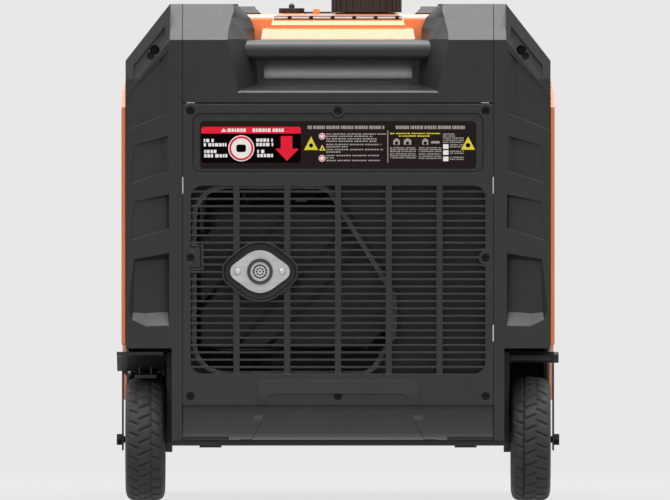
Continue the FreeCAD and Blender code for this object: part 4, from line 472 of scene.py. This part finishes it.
def printed(name, slot, finish, face, outward, shapes, root=0.05):
    """Flat shapes a little proud of an upright face, each an outline and a height in millimetres."""
    points, faces = [], []
    for outline, height in shapes:
        first, count = len(points), len(outline)
        for depth in (height, -root):
            points += [(x * MM, face + outward * depth * MM, z * MM) for x, z in outline]
        faces.append(tuple(range(first, first + count)))
        faces.append(tuple(range(first + count, first + 2 * count)))
        for here in range(count):
            after = (here + 1) % count
            faces.append((first + here, first + after, first + count + after, first + count + here))
    return piece(name, mesh_from(name, points, faces), slot, smooth=False, finish=finish)


INKS = {
    "black": film("ink_black", (0.0014, 0.0007, 0.0006), 0.6, 0.02),
    "red": film("ink_red", (0.68, 0.0045, 0.024), 0.5, 0.2),
    "white": film("ink_white", (0.72, 0.69, 0.67), 0.5, 0.2),
    "pale": film("ink_pale", (0.3, 0.27, 0.25), 0.5, 0.2),
    "yellow": film("ink_yellow", (0.62, 0.52, 0.03), 0.5, 0.2),
}


RED_FIELD = (-162.7, -44.3)           # across the label, from side to side
RINGS = ((-115.1, 423.0, 15.5, 14.4, 12.0, 40),    # middle; radii of edge, ring and core; sides
         (-19.0, 437.3, 3.9, 3.2, 2.1, 20), (-19.0, 411.1, 4.0, 3.3, 2.2, 20))


def label_headings():
    """White shapes of the label: headings, captions of the red field, rings and tick boxes."""
    white = [wedge(-136.0, 3.4, 442.6, 446.8), *row(-131.5, -107.7, 444.5, 4.0, 3.1)]
    white += row(-101.7, -64.6, 444.5, 4.0, 3.1)
    for low, high, middle in (
            (-159.8, -146.4, 432.3), (-159.8, -132.7, 427.2), (-159.2, -142.8, 419.2),
            (-159.2, -131.8, 414.1), (-97.3, -77.6, 432.7), (-97.3, -77.1, 427.5),
            (-96.1, -87.5, 419.3), (-96.1, -77.4, 414.4)):
        white += row(low, high, middle, 3.9, 3.4)
    white += [disc(x, z, edge, sides) for x, z, edge, _, _, sides in RINGS]
    return white + [block(125.0, 131.5, z, z + 5.6, 0.8, 0.8) for z in (422.3, 415.2, 407.6)]


def label_lines():
    """Pale shapes of the label: rows of small print, dividing bars and pictogram bodies."""
    pale = row(-36.3, 55.0, 447.9, 4.0, 2.2) + row(68.7, 151.1, 447.9, 4.0, 2.2)
    for middle, high in (
            (440.0, 57.4), (437.3, 41.1), (434.3, 47.0), (431.4, 47.0), (427.5, 51.5), (424.8, 11.3),
            (421.5, 53.6), (418.6, 5.4), (414.4, 49.1), (411.7, -5.1), (408.5, 50.0)):
        pale += row(-14.0, high, middle, 1.5, 2.4)
    for low, high, middles in (
            (61.9, 93.1, (423.6, 421.4, 419.2, 416.4, 414.1, 411.7)),
            (96.1, 122.9, (423.6, 421.4, 419.2, 416.2, 413.5, 411.1)),
            (124.9, 139.2, (440.0, 437.6)), (124.9, 149.6, (435.2, 432.6, 430.2)),
            (133.3, 149.6, (427.2, 424.8, 419.5, 417.1, 412.3, 409.9))):
        for middle in middles:
            pale += row(low, high, middle, 1.3, 2.0)
    pale += [block(58.7, 59.7, 405.8, 444.2), block(110.7, 120.8, 428.8, 431.6)]
    for x, half in ((69.6, 3.9), (82.7, 4.5), (103.8, 3.6)):
        pale.append([(x - half, 427.2), (x + half, 427.2), (x + half, 432.6), (x, 435.2), (x - half, 432.6)])
    return pale


def label_yellow():
    """Yellow shapes of the label: warning triangles and two captions."""
    yellow = [wedge(-32.1, 8.3, 421.0, 437.0), wedge(-18.7, 3.9, 420.4, 427.2),
              wedge(154.7, 8.3, 421.3, 437.0)]
    return yellow + row(61.9, 121.4, 440.6, 1.4, 2.4) + row(72.3, 109.5, 437.6, 1.4, 2.4)


def label_print():
    """Plain blocks, bars, spots and triangles in the colours and places of the label's print."""
    red = [block(*RED_FIELD, 440.6, 448.6, 0.0, 3.0),
           [(-68.1, 437.6), (-54.4, 437.6), (-54.4, 422.7), (-46.4, 422.7), (-60.7, 407.9), (-74.7, 422.7),
            (-68.1, 422.7)]]
    marks = [disc(-32.1, 426.4, 2.4, 20), disc(154.7, 426.7, 2.6, 20), disc(-18.7, 422.6, 1.0, 12)]
    marks += [block(-121.0, -109.5, 418.5, 427.5, 2.5, 2.5)]
    marks += [block(x - 1.7, x + 1.7, 427.6, 431.0) for x in (69.6, 82.7, 103.8)]
    rings = [disc(x, z, ring, sides) for x, z, _, ring, _, sides in RINGS]
    cores = [disc(x, z, core, sides) for x, z, _, _, core, sides in RINGS]
    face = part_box("label_plate")[0].y
    shapes = {
        "black": raised([block(*RED_FIELD, 405.8, 440.6, 3.0, 0.0)], 0.06) + raised(marks, 0.24),
        "red": raised(red, 0.1) + raised(rings, 0.16),
        "white": raised(label_headings(), 0.13) + raised(cores, 0.2),
        "pale": raised(label_lines(), 0.1),
        "yellow": raised(label_yellow(), 0.1),
    }
    for ink, outlines in shapes.items():
        printed("label_print_" + ink, "label_film", INKS[ink], face, -1, outlines)


KNOB_PLACE = (-112, 322)              # middle of the mode knob
CAPTION_PLACES = (-112, -52, 16, 88)  # under the knob, the start button, the rocker and the breaker
PANEL_BORDERS = ((-160, 160, 275.0, 275.8), (-160, 160, 368.0, 368.8),
                 (-154, -38, 372.5, 373.3), (-154, -38, 428.7, 429.5))
TITLE_ROWS = ((60, 420.0, 5.0, 4.4), (20, 410.0, 2.6, 2.6), (84, 402.0, 2.6, 2.6), (52, 394.0, 2.6, 2.6))


def dial_scale():
    """Nine ticks in a fan round the mode knob, the first, middle and last of them longer."""
    x, z = KNOB_PLACE
    ticks = []
    for step in range(9):
        angle = math.radians(-120 + 30 * step)
        reach = 27.0 if step % 4 else 29.0
        across, up = math.sin(angle), math.cos(angle)
        ticks.append([(x + out * across + side * up, z + out * up - side * across)
                      for out, side in ((24.0, -0.5), (24.0, 0.5), (reach, 0.5), (reach, -0.5))])
    return ticks


def display_segments():
    """Four digits of dim seven-part segments in the display window."""
    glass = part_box("display_window")[1].y
    segments = []
    for place in range(4):
        x = -134 + 21 * place
        segments += [block(x + 1, x + 11, z, z + 1.6) for z in (386.0, 399.0, 412.0)]
        segments += [block(x + side, x + side + 1.6, z, z + 9.4)
                     for side in (-1, 11.4) for z in (388.6, 401.6)]
    lit = film("lit_grey", (0.09, 0.11, 0.1), 0.3, 0.5)
    printed("display_segments", "display_glass", lit, glass, 1, raised(segments, 0.1))


def panel_print():
    """Plain marks round the controls: a dial scale, captions as bars and borders."""
    marks = dial_scale()
    for x in CAPTION_PLACES:
        marks += row(x - 13, x + 13, 289.5, 3.0, 2.6)
        marks += row(x - 8, x + 8, 284.5, 2.0, 2.0)
    marks += [block(*border) for border in PANEL_BORDERS]
    for high, middle, height, stride in TITLE_ROWS:
        marks += row(-30, high, middle, height, stride)
    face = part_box("mode_knob")[0].y + 8 * MM
    printed("panel_print", "shell_plastic", INKS["pale"], face, 1, raised(marks, 0.12))


def crown_painted_light_strip():
    """Painted reflection and painted shade along the front of the top cover's tongue: pale bars for the
    light reflected by the glossy crown, dark raised spots and a black backing for the shade in its vents and
    seam.
    """
    half, vent_gap, vent_height = 76.0, 2.4, 579.0
    vent_places = [-57.8 + 25.7 * count for count in range(6)]
    ends = [-half, *vent_places, half]
    bars = [block(low + vent_gap * (low > -half), high - vent_gap * (high < half), 577.9, 580.1, 0.4, 0.4)
            for low, high in zip(ends, ends[1:])]
    edge = [block(-half - 0.6, half + 0.6, 577.1, 581.0, 0.8, 0.8)]
    spots = [disc(x, vent_height, 1.5, 16) for x in vent_places]
    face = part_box("top_cover")[0].y + 18.6 * MM
    # Painted shade: a black backing where the seam lies in shade.
    printed("crown_painted_seam_shade", "black_plastic", FINISHES["black_plastic"], face, -1, raised(edge, 0.3), 5.0)
    # Painted reflection: pale bars for the light the glossy crown reflects.
    printed("crown_painted_reflection_bars", "black_plastic", INKS["white"], face, -1, raised(bars, 0.7))
    # Painted shade: dark raised spots where the vent holes are dark inside.
    printed("crown_painted_vent_shade", "screw_steel", FINISHES["screw_steel"], face, -1, raised(spots, 1.0))


def rounded_path(corners, steps=8):
    """Points and outward directions along a closed outline, each corner given with its radius."""
    path = []
    spots = [Vector((x, z)) for x, z, _ in corners]
    befores, afters = spots[-1:] + spots, spots[1:] + spots[:1]
    for before, here, after, (_, _, radius) in zip(befores, spots, afters, corners):
        start, end = (before - here).normalized(), (after - here).normalized()
        half = start.angle(end) / 2
        reach = radius / math.tan(half)
        middle = here + (start + end).normalized() * (radius / math.sin(half))
        low, high = here + start * reach - middle, here + end * reach - middle
        turn = low.angle(high)
        for step in range(steps + 1):
            share = step / steps
            spoke = (low * math.sin((1 - share) * turn) + high * math.sin(share * turn)) / math.sin(turn)
            path.append((middle + spoke, spoke.normalized()))
    return path


def duct_lip():
    """The folded sheet lip on the front of the duct ring: two thin walls with a channel between them, in a
    pale grey that is a painted highlight.
    """
    corners = [(-174, 380, 40), (-174, 152, 40), (40, 152, 24),
               (70, 200, 24), (70, 248, 24), (-12, 380, 24)]
    profile = [(0.5, -8.0), (0.5, -6.0), (-1.1, -6.0), (-1.1, 0.8), (-2.1, 0.8), (-2.1, -6.5),
               (-4.3, -6.5), (-4.3, 0.8), (-5.3, 0.8), (-5.3, -8.0)]
    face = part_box("exhaust_baffle")[0].y
    path = rounded_path(corners)
    sides = len(profile)
    points, faces = [], []
    for spot, outward in path:
        for out, proud in profile:
            across = spot + outward * out
            points.append((across.x * MM, face - proud * MM, across.y * MM))
    for place in range(len(path)):
        here, there = place * sides, (place + 1) % len(path) * sides
        for side in range(sides):
            after = (side + 1) % sides
            faces.append((here + side, here + after, there + after, there + side))
    # Painted highlight: the lip takes a far lighter copy of the dark painted steel, for the light its front
    # edge catches.
    piece("duct_lip", mesh_from("duct_lip", points, faces), "painted_steel",
          finish=painted("lip_painted_highlight", (0.42, 0.42, 0.425), 0.4))


def arrestor_hole_shade():
    """Black spots painted over the holes of the spark arrestor: painted shade for their dark insides."""
    low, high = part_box("spark_arrestor")
    middle = (low + high) / 2 / MM
    hole_shade_spots = [disc(middle.x, middle.z, 1.0, 16)]
    for ring, count in ((4.0, 8), (7.6, 14)):
        for step in range(count):
            turn = 2 * math.pi * step / count
            x, z = middle.x + ring * math.sin(turn), middle.z + ring * math.cos(turn)
            hole_shade_spots.append(disc(x, z, 1.1, 16))
    # Painted shade: black ink discs where the holes are dark inside.
    printed("arrestor_hole_shade", "stainless", INKS["black"], low.y, -1, raised(hole_shade_spots, 0.06))


label_print()
panel_print()
display_segments()
crown_painted_light_strip()
duct_lip()
arrestor_hole_shade()


# ------------------------------------------------------------------ floor, light and camera

FLOOR_TONE = 0.02
FLOOR_GLOW = 0.724
FLOOR_RADIUS = 1.6
FLOOR_FADE = (0.9, 1.5)               # from solid to clear, in metres from the middle
ROOM_SEEN = 0.807
ROOM_STRENGTH = 5.5
ROOM_LEVELS = ((0.0, 0.05), (0.45, 0.085), (0.6, 0.12), (0.75, 0.26), (0.86, 0.47), (1.0, 0.56))


def plain_floor():
    """A pale round floor that fades out at its rim, wide enough for soft contact shadows."""
    made = Finish("pale_floor", 0.9, specular=0.1)
    shader = made.shader
    made.colour(made.noise(40.0, 4.0), (0.3, (FLOOR_TONE * 0.97,) * 3), (0.7, (FLOOR_TONE * 1.03,) * 3))
    shader.inputs["Emission Color"].default_value = rgba((1.0, 1.0, 1.0))
    shader.inputs["Emission Strength"].default_value = FLOOR_GLOW
    distance = add(made.tree, "VectorMath", operation="LENGTH")
    made.link(made.place, distance.inputs[0])
    made.link(made.spread(distance.outputs["Value"], 1.0, 0.0, *FLOOR_FADE), shader.inputs["Alpha"])
    mesh = bpy.data.meshes.new("floor")
    work = bmesh.new()
    bmesh.ops.create_circle(work, cap_ends=True, segments=96, radius=FLOOR_RADIUS)
    work.to_mesh(mesh)
    work.free()
    floor = bpy.data.objects.new("floor", mesh)
    bpy.context.scene.collection.objects.link(floor)
    mesh.materials.append(made.material)


def studio_sky():
    """A pale room, brightest overhead, that looks plain pale where the camera sees it directly."""
    world = bpy.data.worlds.new("studio")
    bpy.context.scene.world = world
    world.use_nodes = True
    tree = world.node_tree
    tree.nodes.clear()
    out = add(tree, "OutputWorld")
    plain = add(tree, "Background", {"Color": rgba((ROOM_SEEN,) * 3), "Strength": 1.0})
    sky = add(tree, "Background", {"Strength": ROOM_STRENGTH})
    direction = add(tree, "SeparateXYZ")
    tree.links.new(add(tree, "TexCoord").outputs["Generated"], direction.inputs["Vector"])
    ramp = add(tree, "ValToRGB")
    height = add(tree, "MapRange", {"From Min": -1.0, "From Max": 1.0})
    tree.links.new(direction.outputs["Z"], height.inputs["Value"])
    tree.links.new(height.outputs["Result"], ramp.inputs["Fac"])
    set_stops(ramp, [(place, (level,) * 3) for place, level in ROOM_LEVELS])
    tree.links.new(ramp.outputs["Color"], sky.inputs["Color"])
    seen = add(tree, "LightPath")
    mix = add(tree, "MixShader")
    tree.links.new(seen.outputs["Is Camera Ray"], mix.inputs["Fac"])
    tree.links.new(sky.outputs["Background"], mix.inputs[1])
    tree.links.new(plain.outputs["Background"], mix.inputs[2])
    tree.links.new(mix.outputs["Shader"], out.inputs["Surface"])


def lamp(name, place, target, size, power):
    """A soft rectangular white lamp aimed at a point."""
    data = bpy.data.lights.new(name, "AREA")
    data.shape = "RECTANGLE"
    data.size, data.size_y = size
    data.energy = power
    made = bpy.data.objects.new(name, data)
    made.location = place
    made.rotation_euler = (Vector(target) - Vector(place)).to_track_quat("-Z", "Y").to_euler()
    made.visible_camera = False
    bpy.context.scene.collection.objects.link(made)


CAMERA_AIM = (-0.0036, -0.325, 0.302)    # on the exhaust end's face
CAMERA_DISTANCE = 19.93
CAMERA_TILT = math.radians(0.5)


def camera():
    """A long lens level with the middle of the machine, square on to the exhaust end."""
    data = bpy.data.cameras.new("camera")
    data.sensor_width = 36.0
    data.lens = 900.0
    data.clip_end = 60.0
    made = bpy.data.objects.new("camera", data)
    back, up = CAMERA_DISTANCE * math.cos(CAMERA_TILT), CAMERA_DISTANCE * math.sin(CAMERA_TILT)
    made.location = Vector(CAMERA_AIM) + Vector((0.0, -back, up))
    made.rotation_euler = (math.radians(90.0) - CAMERA_TILT, 0.0, 0.0)
    bpy.context.scene.collection.objects.link(made)
    bpy.context.scene.camera = made


plain_floor()
studio_sky()
lamp("overhead", (0.0, -0.5, 2.6), (0.0, -0.1, 0.5), (1.8, 1.4), 40.0)
camera()
bpy.context.scene.view_settings.view_transform = "Standard"
